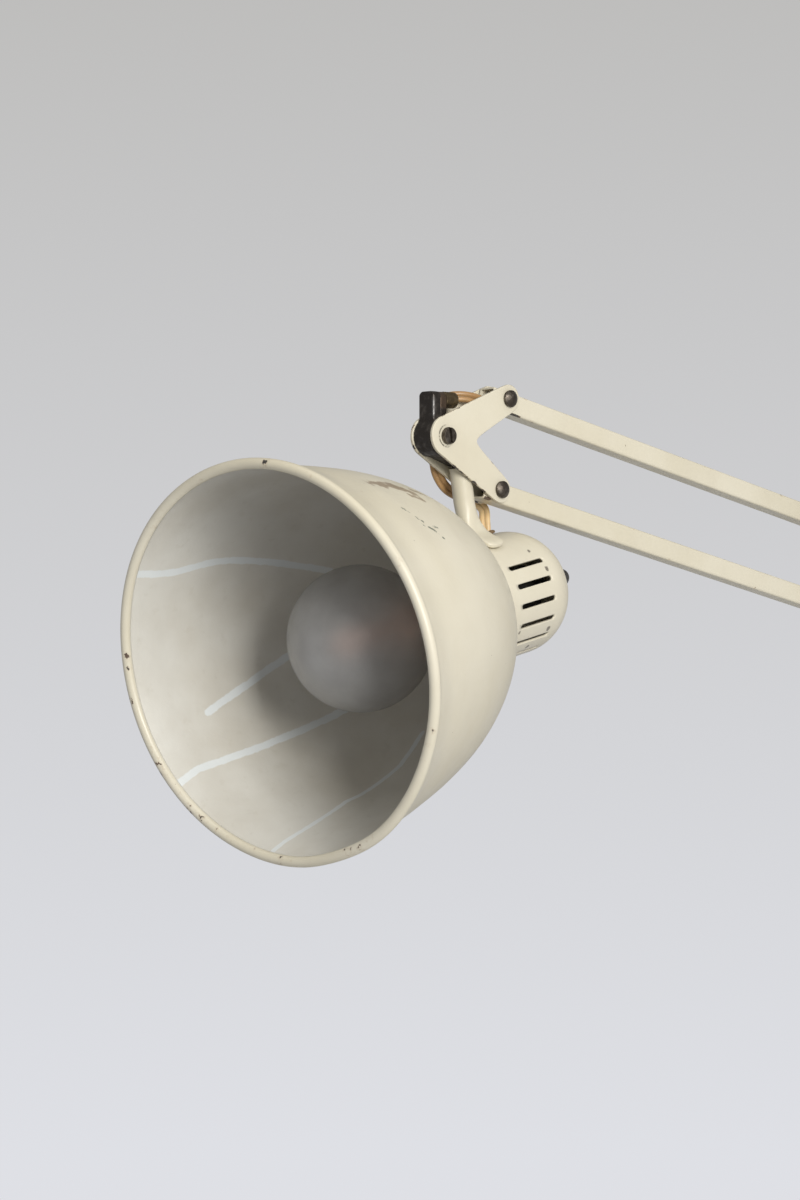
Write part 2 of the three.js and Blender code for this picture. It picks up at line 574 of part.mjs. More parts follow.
// ---- Shade ----
// Its group has X along the shade's axis (0 at the stem), Z along the stem, and its origin on the pivot's level.
function shade() {
  const lean = new THREE.Group();
  lean.position.set(pins.head[0] + STEM_OFFSET, 0, pins.head[1]);
  lean.rotation.y = -LEAN;
  const head = new THREE.Group();
  head.rotation.z = rad(SHADE_YAW_DEG);
  lean.add(head);
  lamp.add(lean);
  const onAxis = (name, finishName, body) => {
    const mesh = piece(head, name, finishName, body);
    mesh.position.set(-STEM_STATION, 0, -SHADE_DROP);
    return mesh;
  };

  onAxis('shade_bell', 'cream_paint', turnedX(bellProfile(), 36));
  onAxis('shade_cap', 'cream_paint', cap());
  onAxis('bulb_glass', 'frosted_glass', turnedX(bulbProfile(), 20));
  onAxis('bulb_screw_cap', 'plated_brass', turnedX([
    [0, BULB_CAP_START + BULB_CAP_LENGTH + 2], [4, BULB_CAP_START + BULB_CAP_LENGTH + 2],
    [8, BULB_CAP_START + BULB_CAP_LENGTH - 2], [BULB_CAP_RADIUS, BULB_CAP_START + BULB_CAP_LENGTH - 4],
    [BULB_CAP_RADIUS, BULB_CAP_START], [BULB_CAP_RADIUS - 0.8, BULB_CAP_START],
    [BULB_CAP_RADIUS - 0.8, BULB_CAP_START + BULB_CAP_LENGTH - 5], [0, BULB_CAP_START + BULB_CAP_LENGTH - 5],
  ], 24));
  const mouth = BULB_CAP_RADIUS + 0.6;
  const floor = BULB_CAP_START + BULB_CAP_LENGTH + 2 + CLEAR;
  onAxis('lampholder', 'bakelite', turnedX([
    [mouth, HOLDER_START], [HOLDER_RADIUS - 2, HOLDER_START], [HOLDER_RADIUS, HOLDER_START + 2],
    [HOLDER_RADIUS, HOLDER_END - 6], [SWITCH_RADIUS, HOLDER_END], [0, HOLDER_END], [0, floor], [mouth, floor],
  ], 28));
  switchPieces(onAxis);
  stem(head);
}

// Outer radius of the bell at stations from the rim: a flared lip, full flanks and a rounded shoulder.
function bellProfile() {
  const neck = CAP_RADIUS + 0.6;
  const swell = (share, part) => [neck + (RIM_RADIUS - neck) * part, BELL_LENGTH * share];
  const stations = [[0.123, 0.926], [0.262, 0.867], [0.416, 0.791], [0.57, 0.676], [0.723, 0.5], [0.877, 0.24]];
  const outer = [[RIM_RADIUS - 0.3, BEAD_RADIUS * 2], ...stations.map(([s, p]) => swell(s, p)), [neck, BELL_LENGTH - 2]];
  const points = outer.map(([r, t]) => new THREE.Vector2(r, t));
  const skin = new THREE.SplineCurve(points).getPoints(10).map((p) => [p.x, p.y]);
  const inside = offsetInward(skin, BELL_WALL).reverse();
  const bead = Array.from({ length: 4 }, (_, i) => {
    const a = Math.PI * (i / 3);
    return [RIM_RADIUS - BEAD_RADIUS - BEAD_RADIUS * Math.cos(a), BEAD_RADIUS - BEAD_RADIUS * Math.sin(a)];
  });
  return [...bead, ...[...skin, [neck, BELL_LENGTH], [neck - BELL_WALL, BELL_LENGTH]], ...inside];
}

// A profile moved inwards by the wall, square to itself.
function offsetInward(profile, wall) {
  return profile.map(([r, t], i) => {
    const [r0, t0] = profile[Math.max(i - 1, 0)];
    const [r1, t1] = profile[Math.min(i + 1, profile.length - 1)];
    const run = Math.hypot(r1 - r0, t1 - t0);
    return [r - (wall * (t1 - t0)) / run, t + (wall * (r1 - r0)) / run];
  });
}

function cap() {
  const dome = (radius, depth) => Array.from({ length: 5 }, (_, i) => {
    const a = (Math.PI / 2) * (i / 4);
    return [Math.max(radius * Math.cos(a), SWITCH_NECK_RADIUS + CLEAR), CAP_STRAIGHT_END + depth * Math.sin(a)];
  });
  const sleeve = CAP_RADIUS + 0.6 - BELL_WALL - CLEAR;
  const start = BELL_LENGTH + CLEAR;
  const inner = sleeve - CAP_WALL;
  const outside = [[sleeve, start - CAP_SLEEVE], [sleeve, start], [CAP_RADIUS, start], ...dome(CAP_RADIUS, CAP_DOME_DEPTH)];
  const inside = [...dome(inner, CAP_DOME_DEPTH - CAP_WALL).reverse(), [inner, start - CAP_SLEEVE]];
  const slots = [];
  for (let i = 0; i < SLOTS_A_SIDE; i += 1) {
    for (const side of [-1, 1]) {
      const slit = block(SLOT_START, SLOT_START + SLOT_LENGTH, -SLOT_WIDTH / 2, SLOT_WIDTH / 2, 20, CAP_RADIUS + 3);
      slots.push(slit.rotate([side * (SLOT_FIRST_DEG + i * SLOT_STEP_DEG), 0, 0]));
    }
  }
  const rivet = rodZ(RIVET_STATION, 0, PIN_RADIUS + CLEAR, CAP_RADIUS - 5, CAP_RADIUS + 3, 12).rotate([RIVET_DEG, 0, 0]);
  const cable = rodZ(FLEX_EXIT_STATION, 0, GROMMET_RADIUS, 15, CAP_RADIUS + 5, 16).rotate([-FLEX_EXIT_DEG, 0, 0]);
  return cut(turnedX([...outside, ...inside], 28), ...slots, rivet, cable);
}

// Glass globe and neck, open at the end that the metal cap holds.
function bulbProfile() {
  const wrap = (radius) => {
    const edge = Math.asin(BULB_NECK_RADIUS / GLOBE_RADIUS);
    return Array.from({ length: 7 }, (_, i) => {
      const a = Math.PI * 0.999 - (Math.PI - edge - 0.35) * (i / 6);
      return [radius * Math.sin(a), GLOBE_STATION + radius * Math.cos(a)];
    });
  };
  const outer = wrap(GLOBE_RADIUS);
  const inner = wrap(GLOBE_RADIUS - GLASS_WALL);
  const end = BULB_CAP_START - CLEAR;
  outer[0][0] = 0;
  inner[0][0] = 0;
  const neck = [[BULB_NECK_RADIUS, end - 10], [BULB_CAP_RADIUS - 0.4, end]];
  const neckInside = [[BULB_CAP_RADIUS - 0.4 - GLASS_WALL, end], [BULB_NECK_RADIUS - GLASS_WALL, end - 10]];
  return [...outer, ...neck, ...neckInside, ...inner.reverse()];
}

// A rotary switch behind the lampholder: its neck passes through the cap, and its knob stands out at the back.
function switchPieces(onAxis) {
  const front = HOLDER_END + CLEAR;
  const back = CAP_STRAIGHT_END + CAP_DOME_DEPTH - 6;
  const neckEnd = CAP_STRAIGHT_END + CAP_DOME_DEPTH + 4;
  onAxis('switch_body', 'bakelite', turnedX([
    [0, front], [SWITCH_RADIUS, front], [SWITCH_RADIUS, back - 6], [SWITCH_NECK_RADIUS, back - 5],
    [SWITCH_NECK_RADIUS, neckEnd], [0, neckEnd],
  ], 20));
  const knobStart = neckEnd + CLEAR;
  const end = knobStart + KNOB_LENGTH;
  onAxis('switch_knob', 'bakelite', turnedX([
    [0, knobStart], [KNOB_RADIUS - 0.4, knobStart], [KNOB_RADIUS, knobStart + 1], [KNOB_RADIUS, end - 1.5],
    [KNOB_RADIUS - 1.2, end], [0, end],
  ], 18));
}

// The stem tube ends in a foot that wraps round the cap towards -Y and is riveted to it.
function stem(head) {
  const seat = CAP_RADIUS + 2 * CLEAR;
  const top = seat + FOOT_THICKNESS;
  const arc = new THREE.Shape();
  const [a0, a1] = [Math.PI / 2 - rad(FOOT_BACK_DEG), Math.PI / 2 + rad(FOOT_FRONT_DEG)];
  arc.absarc(0, 0, top, a0, a1, false);
  arc.absarc(0, 0, seat, a1, a0, true);
  const wrap = new THREE.ExtrudeGeometry(arc, { depth: FOOT_WIDTH, bevelEnabled: false, curveSegments: 10 });
  // the outline's X becomes -Y here, so that it turns towards the near side
  const foot = solid(wrap.rotateY(Math.PI / 2).rotateX(Math.PI / 2).translate(-FOOT_WIDTH / 2, 0, 0));
  const tube = rodZ(0, 0, STEM_RADIUS, seat + 1, SHADE_DROP - STEM_TOP, 24);
  const bore = rodZ(0, 0, STEM_RADIUS - STEM_WALL, top + 2, SHADE_DROP, 20);
  const hole = rodZ(-1, 0, PIN_HOLE, seat - 3, top + 3, 12).rotate([RIVET_DEG, 0, 0]);
  const mesh = piece(head, 'stem', 'cream_paint', cut(join(foot, tube), bore, hole));
  mesh.position.set(0, 0, -SHADE_DROP);
  const rivet = turned([
    [0, seat - 4], [PIN_RADIUS, seat - 4], [PIN_RADIUS, top + CLEAR], [PIN_RADIUS + 0.9, top + CLEAR],
    [PIN_RADIUS + 0.4, top + 1.2], [0, top + 1.5],
  ], 12).translate([-1, 0, 0]).rotate([RIVET_DEG, 0, 0]);
  piece(head, 'stem_rivet', 'dark_steel', rivet).position.set(0, 0, -SHADE_DROP);

  const grommet = turned([
    [2.9, CAP_RADIUS - 2.4], [GROMMET_RADIUS - CLEAR, CAP_RADIUS - 2.4], [GROMMET_RADIUS - CLEAR, CAP_RADIUS + 0.6],
    [GROMMET_RADIUS + 0.8, CAP_RADIUS + 0.6], [GROMMET_RADIUS + 0.4, CAP_RADIUS + 1.6], [2.9, CAP_RADIUS + 1.9],
  ], 16).translate([FLEX_EXIT_STATION, 0, 0]).rotate([-FLEX_EXIT_DEG, 0, 0]);
  piece(head, 'flex_grommet', 'bakelite', grommet).position.set(-STEM_STATION, 0, -SHADE_DROP);
}

// ---- Flex ----
// Points are chosen by hand. The held stretches are given from the pin that they pass.
const fromPin = ([x, z], points) => points.map(([dx, y, dz]) => [x + dx, y, z + dz]);

function heldFlex() {
  tubesAlong(fromPin(pins.head, [
    [38.5, 5.4, -51], [37.3, 6.5, -43.4], [37.6, 7.6, -37], [38.8, 9.8, -30.8], [36, 12.6, -27.4], [30.6, 12.9, -25.4],
    [23.6, 11.8, -24.6], [15.2, 10.3, -21.4], [10.4, 10.3, -15.6], [8.6, 10.3, -8], [8.8, 10.3, 1], [9.2, 10.3, 9],
    [10.2, 8.8, 14.6], [12.6, 6.2, 17.8], [16.4, 3.4, 18.6], [21, 1.3, 18.4], [26, 0.2, 17.4], [30.4, 0, 16.2],
  ]), ['flex_cap_to_knuckle', 'flex_round_knuckle', 'flex_to_upper_bar'], [6, 12]);
  tubesAlong(fromPin(pins.elbowTop, [
    [BAR_OVERHANG - 0.9, 0, -4.6], [14, 0, -7.6], [21, 0, -13.4], [23.6, 0, -22], [21.6, 0, -31.5], [14, 0, -42],
    [3, 0, -52.4], [-5.6, 0, -61.6],
  ]), ['flex_at_elbow_upper', 'flex_at_elbow_lower'], [3]);
  const hole = CABLE_HOLE_HEIGHT;
  tubesAlong([
    [-19.4, 0, 95.4], [-24.5, 0, 86], [-29.5, 0, 76], [-29.5, 0, 66.5], [-24, 0, 60.6], [-15.4, 0, hole],
    [-7, 0, hole + 0.8], [-0.9, 0, hole - 2], [0.4, 0, hole - 9], [0, 0, 38], [0, 0, 20], [2.2, 0, 11],
    [10, 0, FLEX_LEVEL + 0.6], [24, 0, FLEX_LEVEL], [60, 0, FLEX_LEVEL], [BASE_RADIUS - 4.3, 0, FLEX_LEVEL],
  ], ['flex_at_base', 'flex_in_base'], [5]);
}

function freeFlex() {
  const start = BASE_RADIUS - 4;
  const end = start + RELIEF_LENGTH;
  const reliefRadius = CHANNEL_WIDTH / 2;
  piece(lamp, 'strain_relief', 'bakelite', turnedX([
    [0, start], [reliefRadius, start], [reliefRadius, BASE_RADIUS + 3], [reliefRadius - 0.6, BASE_RADIUS + 5],
    [2.9, end], [0, end],
  ], 18).translate([0, 0, FLEX_LEVEL]));

  const ground = FLEX_TUBE + 0.3;
  const [cx, cy] = COIL_CENTRE;
  tubesAlong([
    [end + CLEAR, 0, FLEX_LEVEL], [end + 8, 0, FLEX_LEVEL - 1], [end + 18, 0, ground + 1],
    [end + 28, 1.2, ground], [end + 40, 6, ground], [end + 50, 16, ground], [end + 54.5, 28, ground + 0.6],
  ], ['flex_lead']);

  // the coil, as the ring that its turns fill
  const inner = COIL_MIDDLE - (COIL_COLUMNS / 2) * COIL_PITCH;
  const outer = COIL_MIDDLE + (COIL_COLUMNS / 2) * COIL_PITCH;
  const top = COIL_BOTTOM + COIL_LAYERS * COIL_PITCH;
  const ring = turned([[inner, COIL_BOTTOM], [outer, COIL_BOTTOM], [outer, top], [inner, top]], 36);
  piece(lamp, 'flex_coil', 'amber_flex', ring.translate([cx, cy, 0]));

  const gap = CLEAR;
  const tieOuter = block(inner - gap - TIE_THICKNESS, outer + gap + TIE_THICKNESS, -TIE_WIDTH / 2, TIE_WIDTH / 2,
    COIL_BOTTOM - gap - TIE_THICKNESS, top + gap + TIE_THICKNESS);
  const tieInner = block(inner - gap, outer + gap, -TIE_WIDTH, TIE_WIDTH, COIL_BOTTOM - gap, top + gap);
  const tie = cut(tieOuter, tieInner).rotate([0, 0, TIE_TURN_DEG]);
  piece(lamp, 'coil_tie', 'bakelite', tie.translate([cx, cy, 0]));
  plug(cx, cy, top);
  tail(cx, cy, top);
}

// The plug lies on top of the coil with its pins towards the base.
function plug(cx, cy, top) {
  const half = PLUG_RADIUS * PLUG_FLATNESS;
  const laid = (body) => body.rotate([0, 0, 180]).translate([cx + PLUG_BACK, cy + PLUG_OFFSET, top + CLEAR + half]);
  const body = turnedX([
    [0, 0], [3.4, 0], [4.2, 4], [PLUG_RADIUS, 14], [PLUG_RADIUS, PLUG_LENGTH], [0, PLUG_LENGTH],
  ], 24);
  const flat = block(-1, PLUG_LENGTH + 1, -PLUG_RADIUS - 1, PLUG_RADIUS + 1, -half, half);
  piece(lamp, 'plug_body', 'bakelite', laid(body.intersect(flat)));
  const start = PLUG_LENGTH + CLEAR;
  const pin = turnedX([
    [0, start], [PLUG_PIN_RADIUS, start], [PLUG_PIN_RADIUS, start + PLUG_PIN_LENGTH - 1.2],
    [PLUG_PIN_RADIUS * 0.5, start + PLUG_PIN_LENGTH], [0, start + PLUG_PIN_LENGTH],
  ], 12);
  const apart = PLUG_PIN_SPACING / 2;
  const bridge = block(start, start + 1.2, -apart, apart, -PLUG_PIN_RADIUS, PLUG_PIN_RADIUS);
  const pair = [-apart, apart].map((y) => pin.translate([0, y, 0]));
  piece(lamp, 'plug_pins', 'plated_brass', laid(join(...pair, bridge)));
}

// The last half turn rises out of the coil's inner column and runs into the plug's back.
function tail(cx, cy, top) {
  const inner = COIL_MIDDLE - COIL_PITCH;
  const low = top - COIL_PITCH / 2;
  const high = top + CLEAR + PLUG_RADIUS * PLUG_FLATNESS;
  const points = [0, 18, 36, 54, 72, 90].map((deg) => {
    const share = (deg + 90) / 180;
    const ease = share * share * (3 - 2 * share);
    const r = inner + (PLUG_OFFSET - inner) * ease;
    return [cx + r * Math.cos(rad(deg)), cy + r * Math.sin(rad(deg)), low + (high - low) * ease];
  });
  tubesAlong([...points, [cx + PLUG_BACK + CLEAR, cy + PLUG_OFFSET, high]], ['flex_tail']);
}

base();
baseBracket();
arms();
elbow();
headBracket();
knuckle();
shade();
heldFlex();
freeFlex();

export default lamp;
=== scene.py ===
# Architect desk lamp: cream enamelled shade on a sprung two-part arm with a heavy round base.
# Metres, +Z up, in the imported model's own frame. Sizes in the sections are in millimetres until MM turns them.
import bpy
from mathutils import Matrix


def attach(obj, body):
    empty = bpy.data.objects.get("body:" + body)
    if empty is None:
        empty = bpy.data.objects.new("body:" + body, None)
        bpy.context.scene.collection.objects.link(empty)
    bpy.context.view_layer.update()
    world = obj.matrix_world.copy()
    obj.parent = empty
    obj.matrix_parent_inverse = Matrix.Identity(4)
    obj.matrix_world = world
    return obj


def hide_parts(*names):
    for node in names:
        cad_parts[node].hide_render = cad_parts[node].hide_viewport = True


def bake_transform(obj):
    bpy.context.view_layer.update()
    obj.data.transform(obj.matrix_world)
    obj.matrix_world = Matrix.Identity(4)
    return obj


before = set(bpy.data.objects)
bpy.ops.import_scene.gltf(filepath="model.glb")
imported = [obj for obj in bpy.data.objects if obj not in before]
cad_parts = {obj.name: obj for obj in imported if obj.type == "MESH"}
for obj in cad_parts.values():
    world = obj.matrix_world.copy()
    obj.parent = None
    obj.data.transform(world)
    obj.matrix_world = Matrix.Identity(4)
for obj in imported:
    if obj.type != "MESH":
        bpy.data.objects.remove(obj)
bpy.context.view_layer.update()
import math
import bmesh
import bpy
import numpy as np
from mathutils import Vector

MM = 0.001

# ---- Camera, light and floor ----
# A level camera stands to the left of the shade and looks along the arm. The light is a pale room
# with one large soft window to the camera's right and a weaker one overhead.
camera = bpy.data.objects.new("camera", bpy.data.cameras.new("camera"))
bpy.context.collection.objects.link(camera)
camera.location = (-1.1423, -0.8651, 0.5312)
camera.rotation_euler = Vector((0.678, 0.735, 0.0)).to_track_quat("-Z", "Y").to_euler()
camera.data.lens = 81
camera.data.sensor_width = 36
camera.data.clip_start = 0.01
bpy.context.scene.camera = camera
bpy.context.scene.view_settings.view_transform = "Standard"


def window(name, place, target, width, height, power, colour):
    """A soft rectangular light that faces its target."""
    lamp = bpy.data.lights.new(name, "AREA")
    lamp.shape, lamp.size, lamp.size_y = "RECTANGLE", width, height
    lamp.energy, lamp.color = power, colour
    holder = bpy.data.objects.new(name, lamp)
    bpy.context.collection.objects.link(holder)
    holder.location = place
    holder.rotation_euler = (Vector(target) - Vector(place)).to_track_quat("-Z", "Y").to_euler()


window("window_right", (-1.05, -2.05, 1.12), (-0.35, 0, 0.5), 0.75, 0.9, 46, (1.0, 0.985, 0.95))
window("window_above", (-0.9, -0.4, 2.4), (-0.3, 0, 0.5), 1.6, 1.6, 9, (1.0, 0.98, 0.94))

room = bpy.data.worlds.new("room")
bpy.context.scene.world = room
room.use_nodes = True
room_nodes, room_links = room.node_tree.nodes, room.node_tree.links
direction = room_nodes.new("ShaderNodeTexCoord")
height_of = room_nodes.new("ShaderNodeSeparateXYZ")
room_shade = room_nodes.new("ShaderNodeValToRGB")
room_shade.color_ramp.elements[0].position = 0.40
room_shade.color_ramp.elements[0].color = (0.735, 0.745, 0.785, 1)
room_shade.color_ramp.elements[1].position = 0.62
room_shade.color_ramp.elements[1].color = (0.505, 0.500, 0.490, 1)
half_up = room_nodes.new("ShaderNodeMath")
half_up.operation = "MULTIPLY_ADD"
half_up.inputs[1].default_value = 0.5
half_up.inputs[2].default_value = 0.5
room_links.new(direction.outputs["Generated"], height_of.inputs[0])
room_links.new(height_of.outputs["Z"], half_up.inputs[0])
room_links.new(half_up.outputs[0], room_shade.inputs[0])
room_links.new(room_shade.outputs[0], room_nodes["Background"].inputs["Color"])
seen_from = room_nodes.new("ShaderNodeLightPath")
fill = room_nodes.new("ShaderNodeMapRange")
fill.inputs["To Min"].default_value, fill.inputs["To Max"].default_value = 0.62, 1.0
room_links.new(seen_from.outputs["Is Camera Ray"], fill.inputs["Value"])
room_links.new(fill.outputs["Result"], room_nodes["Background"].inputs["Strength"])

# ---- Free flex ----
# Flat two-core lighting flex, two round cores moulded side by side in amber insulation. Outside the base it
# runs a hand's breadth along the table, lies in nine neat turns, and rises out of them into its plug.
FLEX_WIDE, FLEX_THICK = 5.0 * MM, 2.6 * MM
LEAD = [[140.3, 0, 6], [148, 0, 5], [158, 0, 3.05], [168, 1.2, 2.05], [180, 6, 2.05], [190, 16, 2.05],
        [194.5, 28, 2.65]]
COIL_MID = np.array([163.0, 50.0])
TURN_RADIUS = np.array([33, 28, 23, 23, 28, 33, 33, 28, 23, 23], float)
TURN_LEVEL = np.array([3.9, 3.9, 3.9, 8.9, 8.9, 8.9, 13.9, 13.9, 13.9, 13.9])
PLUG_LEVEL, PLUG_SIDE = 23.18, 21.0


def eased_share(x):
    """0 below 0, 1 above 1, and 3x^2 - 2x^3 between them."""
    x = np.clip(x, 0, 1)
    return x * x * (3 - 2 * x)


def coil_route():
    """Points every 15 degrees round the coil: each turn keeps one radius and level, and moves to the next
    turn's in its last 60 degrees. The last half turn rises to the plug as its radius closes to the plug's line."""
    at = np.arange(0, 8.75 * 360 + 1, 15.0)
    turn, angle = (at // 360).astype(int), at % 360
    move = eased_share((angle - 300) / 60)
    radius = TURN_RADIUS[turn] + (TURN_RADIUS[turn + 1] - TURN_RADIUS[turn]) * move
    level = TURN_LEVEL[turn] + (TURN_LEVEL[turn + 1] - TURN_LEVEL[turn]) * move
    rise = np.arange(15, 181, 15.0)
    share = eased_share(rise / 180)
    at = np.radians(np.concatenate([at, rise - 90]))
    radius = np.concatenate([radius, 23 + (PLUG_SIDE - 23) * share])
    level = np.concatenate([level, 13.9 + (PLUG_LEVEL - 13.9) * share])
    return np.column_stack([COIL_MID[0] + radius * np.cos(at), COIL_MID[1] + radius * np.sin(at), level])


def flex_line(points, step=0.002):
    """Points every step along the smooth curve through the given ones. On each span the end slopes come from
    the neighbouring points, weighted by the square root of their distances, so the curve never overshoots."""
    p = np.asarray(points, float)
    p = np.vstack([2 * p[0] - p[1], p, 2 * p[-1] - p[-2]])
    gap = np.sqrt(np.linalg.norm(np.diff(p, axis=0), axis=1))[:, None]
    p0, p1, p2, p3 = p[:-3], p[1:-2], p[2:-1], p[3:]
    g0, g1, g2 = gap[:-2], gap[1:-1], gap[2:]
    leave = g1 * ((p1 - p0) / g0 - (p2 - p0) / (g0 + g1) + (p2 - p1) / g1)
    arrive = g1 * ((p2 - p1) / g1 - (p3 - p1) / (g1 + g2) + (p3 - p2) / g2)
    u = np.linspace(0, 1, 16, endpoint=False)[None, :, None]
    spans = ((2 * u**3 - 3 * u**2 + 1) * p1[:, None] + (u**3 - 2 * u**2 + u) * leave[:, None]
             + (3 * u**2 - 2 * u**3) * p2[:, None] + (u**3 - u**2) * arrive[:, None])
    fine = np.vstack([spans.reshape(-1, p.shape[1]), p[-2:-1]])
    reached = np.concatenate([[0], np.cumsum(np.linalg.norm(np.diff(fine, axis=0), axis=1))])
    at = np.linspace(0, reached[-1], max(4, round(reached[-1] / step)) + 1)
    return np.column_stack([np.interp(at, reached, fine[:, k]) for k in range(p.shape[1])])


def unit(v):
    """Each row divided by its length."""
    return v / np.maximum(np.linalg.norm(v, axis=-1, keepdims=True), 1e-12)


def skin(name, grid, loop=False, poles=True, ring=True, flat=35, left_out=None):
    """A mesh over a grid of points, rows by columns. The columns close into a ring, the rows close too if loop,
    and poles put one point at the middle of each end row, or at the two points given. Its faces point outwards:
    they are turned over if the sum of face normal times face centre, which is three volumes, is negative."""
    rows, columns = grid.shape[:2]
    i, j = np.meshgrid(np.arange(rows if loop else rows - 1), np.arange(columns if ring else columns - 1),
                       indexing="ij")
    i2, j2 = (i + 1) % rows, (j + 1) % columns
    quads = np.stack([i * columns + j, i * columns + j2, i2 * columns + j2, i2 * columns + j], -1)
    places = np.stack([np.stack([j, i], -1), np.stack([j + 1, i], -1), np.stack([j + 1, i + 1], -1),
                       np.stack([j, i + 1], -1)], -2) / np.array([columns, max(rows - 1, 1)])
    if left_out is not None:
        quads, places = quads[~left_out], places[~left_out]
    quads, places = quads.reshape(-1, 4), places.reshape(-1, 4, 2)
    points = grid.reshape(-1, 3)
    fans, fan_places = np.zeros((0, 3), int), np.zeros((0, 3, 2))
    if poles is not False and not loop and ring:
        ends = [grid[0].mean(0), grid[-1].mean(0)] if poles is True else poles
        k = np.arange(columns)
        k2 = (k + 1) % columns
        last = (rows - 1) * columns
        count = len(points)
        fans = np.vstack([np.column_stack([k2, k, np.full(columns, count)]),
                          np.column_stack([last + k, last + k2, np.full(columns, count + 1)])])
        u = k / columns
        fan_places = np.concatenate([
            np.stack([np.column_stack([u, 0 * u]), np.column_stack([u, 0 * u]), np.column_stack([u, 0 * u])], 1),
            np.stack([np.column_stack([u, 0 * u + 1])] * 3, 1)])
        points = np.vstack([points, ends])
    middle = points.mean(0)
    corner = points[quads] - middle
    swept = (np.cross(corner[:, 2] - corner[:, 0], corner[:, 3] - corner[:, 1]) * corner.mean(1)).sum()
    if swept < 0:
        quads, places = quads[:, ::-1], places[:, ::-1]
        fans, fan_places = fans[:, ::-1], fan_places[:, ::-1]
    mesh = bpy.data.meshes.new(name)
    mesh.vertices.add(len(points))
    mesh.vertices.foreach_set("co", points.astype(np.float32).ravel())
    mesh.loops.add(4 * len(quads) + 3 * len(fans))
    mesh.loops.foreach_set("vertex_index", np.concatenate([quads.ravel(), fans.ravel()]).astype(np.int32))
    mesh.polygons.add(len(quads) + len(fans))
    starts = np.concatenate([4 * np.arange(len(quads)), 4 * len(quads) + 3 * np.arange(len(fans))])
    mesh.polygons.foreach_set("loop_start", starts.astype(np.int32))
    mesh.update(calc_edges=True)
    mesh.validate()
    laid_out = mesh.uv_layers.new(name="UVMap")
    laid_out.data.foreach_set("uv", np.concatenate([places.ravel(), fan_places.ravel()]).astype(np.float32))
    mesh.shade_smooth()
    mesh.set_sharp_from_angle(angle=math.radians(flat))
    piece = bpy.data.objects.new(name, mesh)
    bpy.context.collection.objects.link(piece)
    return piece


def marked(piece, name, values):
    """A value at each point of the mesh, which a finish reads by that name. The poles get 0."""
    count = len(piece.data.vertices)
    full = np.zeros(count, np.float32)
    full[: values.size] = values.ravel()
    piece.data.attributes.new(name, "FLOAT", "POINT").data.foreach_set("value", full)
    return piece


def finish_of(name, colour, roughness, **sockets):
    """A material with one Principled shader, whose even values sit on its own sockets."""
    material = bpy.data.materials.new(name)
    material.use_nodes = True
    shader = material.node_tree.nodes["Principled BSDF"]
    shader.inputs["Base Color"].default_value = (*colour, 1)
    shader.inputs["Roughness"].default_value = roughness
    for socket, value in sockets.items():
        shader.inputs[socket.replace("_", " ")].default_value = value
    material.diffuse_color = (*colour, 1)
    return material


def added(material, kind, **values):
    """A new node in the material. Values with a name in lower case are its settings, and the others its inputs."""
    node = material.node_tree.nodes.new("ShaderNode" + kind)
    for key, value in values.items():
        if key[0].islower():
            setattr(node, key, value)
        else:
            node.inputs[key.replace("_", " ")].default_value = value
    return node


def wired(material, *pairs):
    """Links each output to each input."""
    for source, target in pairs:
        material.node_tree.links.new(source, target)


def grain(material, scale, detail=4.0, stretch=(1, 1, 1), roughness=0.55, shift=0.0):
    """Noise on Object coordinates, with features about one metre over the scale across."""
    place = added(material, "TexCoord")
    turned_to = added(material, "Mapping", Scale=stretch, Location=(shift, shift, shift))
    noise = added(material, "TexNoise", Scale=scale, Detail=detail, Roughness=roughness)
    wired(material, (place.outputs["Object"], turned_to.inputs["Vector"]),
          (turned_to.outputs[0], noise.inputs["Vector"]))
    return noise.outputs["Fac"]


def between(material, value, low, high, to_low=0.0, to_high=1.0):
    """The value, moved from low..high to another range and held inside it."""
    node = added(material, "MapRange", From_Min=low, From_Max=high, To_Min=to_low, To_Max=to_high)
    wired(material, (value, node.inputs["Value"]))
    return node.outputs["Result"]


def sum_of(material, a, b, operation="MULTIPLY"):
    """Two values put together; each is an output or a number."""
    node = added(material, "Math", operation=operation)
    for k, value in enumerate((a, b)):
        if isinstance(value, (int, float)):
            node.inputs[k].default_value = value
        else:
            wired(material, (value, node.inputs[k]))
    return node.outputs[0]


def blended(material, share, a, b):
    """Colour a where the share is 0, and b where it is 1."""
    node = added(material, "Mix", data_type="RGBA")
    wired(material, (share, node.inputs[0]))
    for k, value in ((6, a), (7, b)):
        if isinstance(value, tuple):
            node.inputs[k].default_value = (*value, 1)
        else:
            wired(material, (value, node.inputs[k]))
    return node.outputs[2]


def roughened(material, height, depth, distance=0.0005):
    """Bump from a height into the shader."""
    bump = added(material, "Bump", Strength=depth, Distance=distance)
    shader = material.node_tree.nodes["Principled BSDF"]
    wired(material, (height, bump.inputs["Height"]), (bump.outputs[0], shader.inputs["Normal"]))


def insulation(name, colour, aged):
    """Amber insulation: colour drifts along the flex, random dirt darkens it, the groove between the cores is
    darker with painted shade, faint gloss.
    """
    material = finish_of(name, colour, 0.42, Subsurface_Weight=0.12, Subsurface_Radius=(0.002, 0.0012, 0.0006),
                         Coat_Weight=0.15, Coat_Roughness=0.3)
    shader = material.node_tree.nodes["Principled BSDF"]
    groove = added(material, "Attribute", attribute_name="groove")
    drift = between(material, grain(material, 55, 3), 0.35, 0.68)
    base = blended(material, drift, colour, aged)
    # Painted shade in the groove between the cores, over random dirt all along.
    dirt_and_groove_shade = sum_of(material, groove.outputs["Fac"],
                  between(material, grain(material, 300, 4), 0.3, 0.6, 0.55, 1.0))
    dark = blended(material, dirt_and_groove_shade, base, tuple(0.22 * c for c in aged))
    wired(material, (dark, shader.inputs["Base Color"]))
    roughened(material, grain(material, 900, 3), 0.25, 0.0002)
    return material


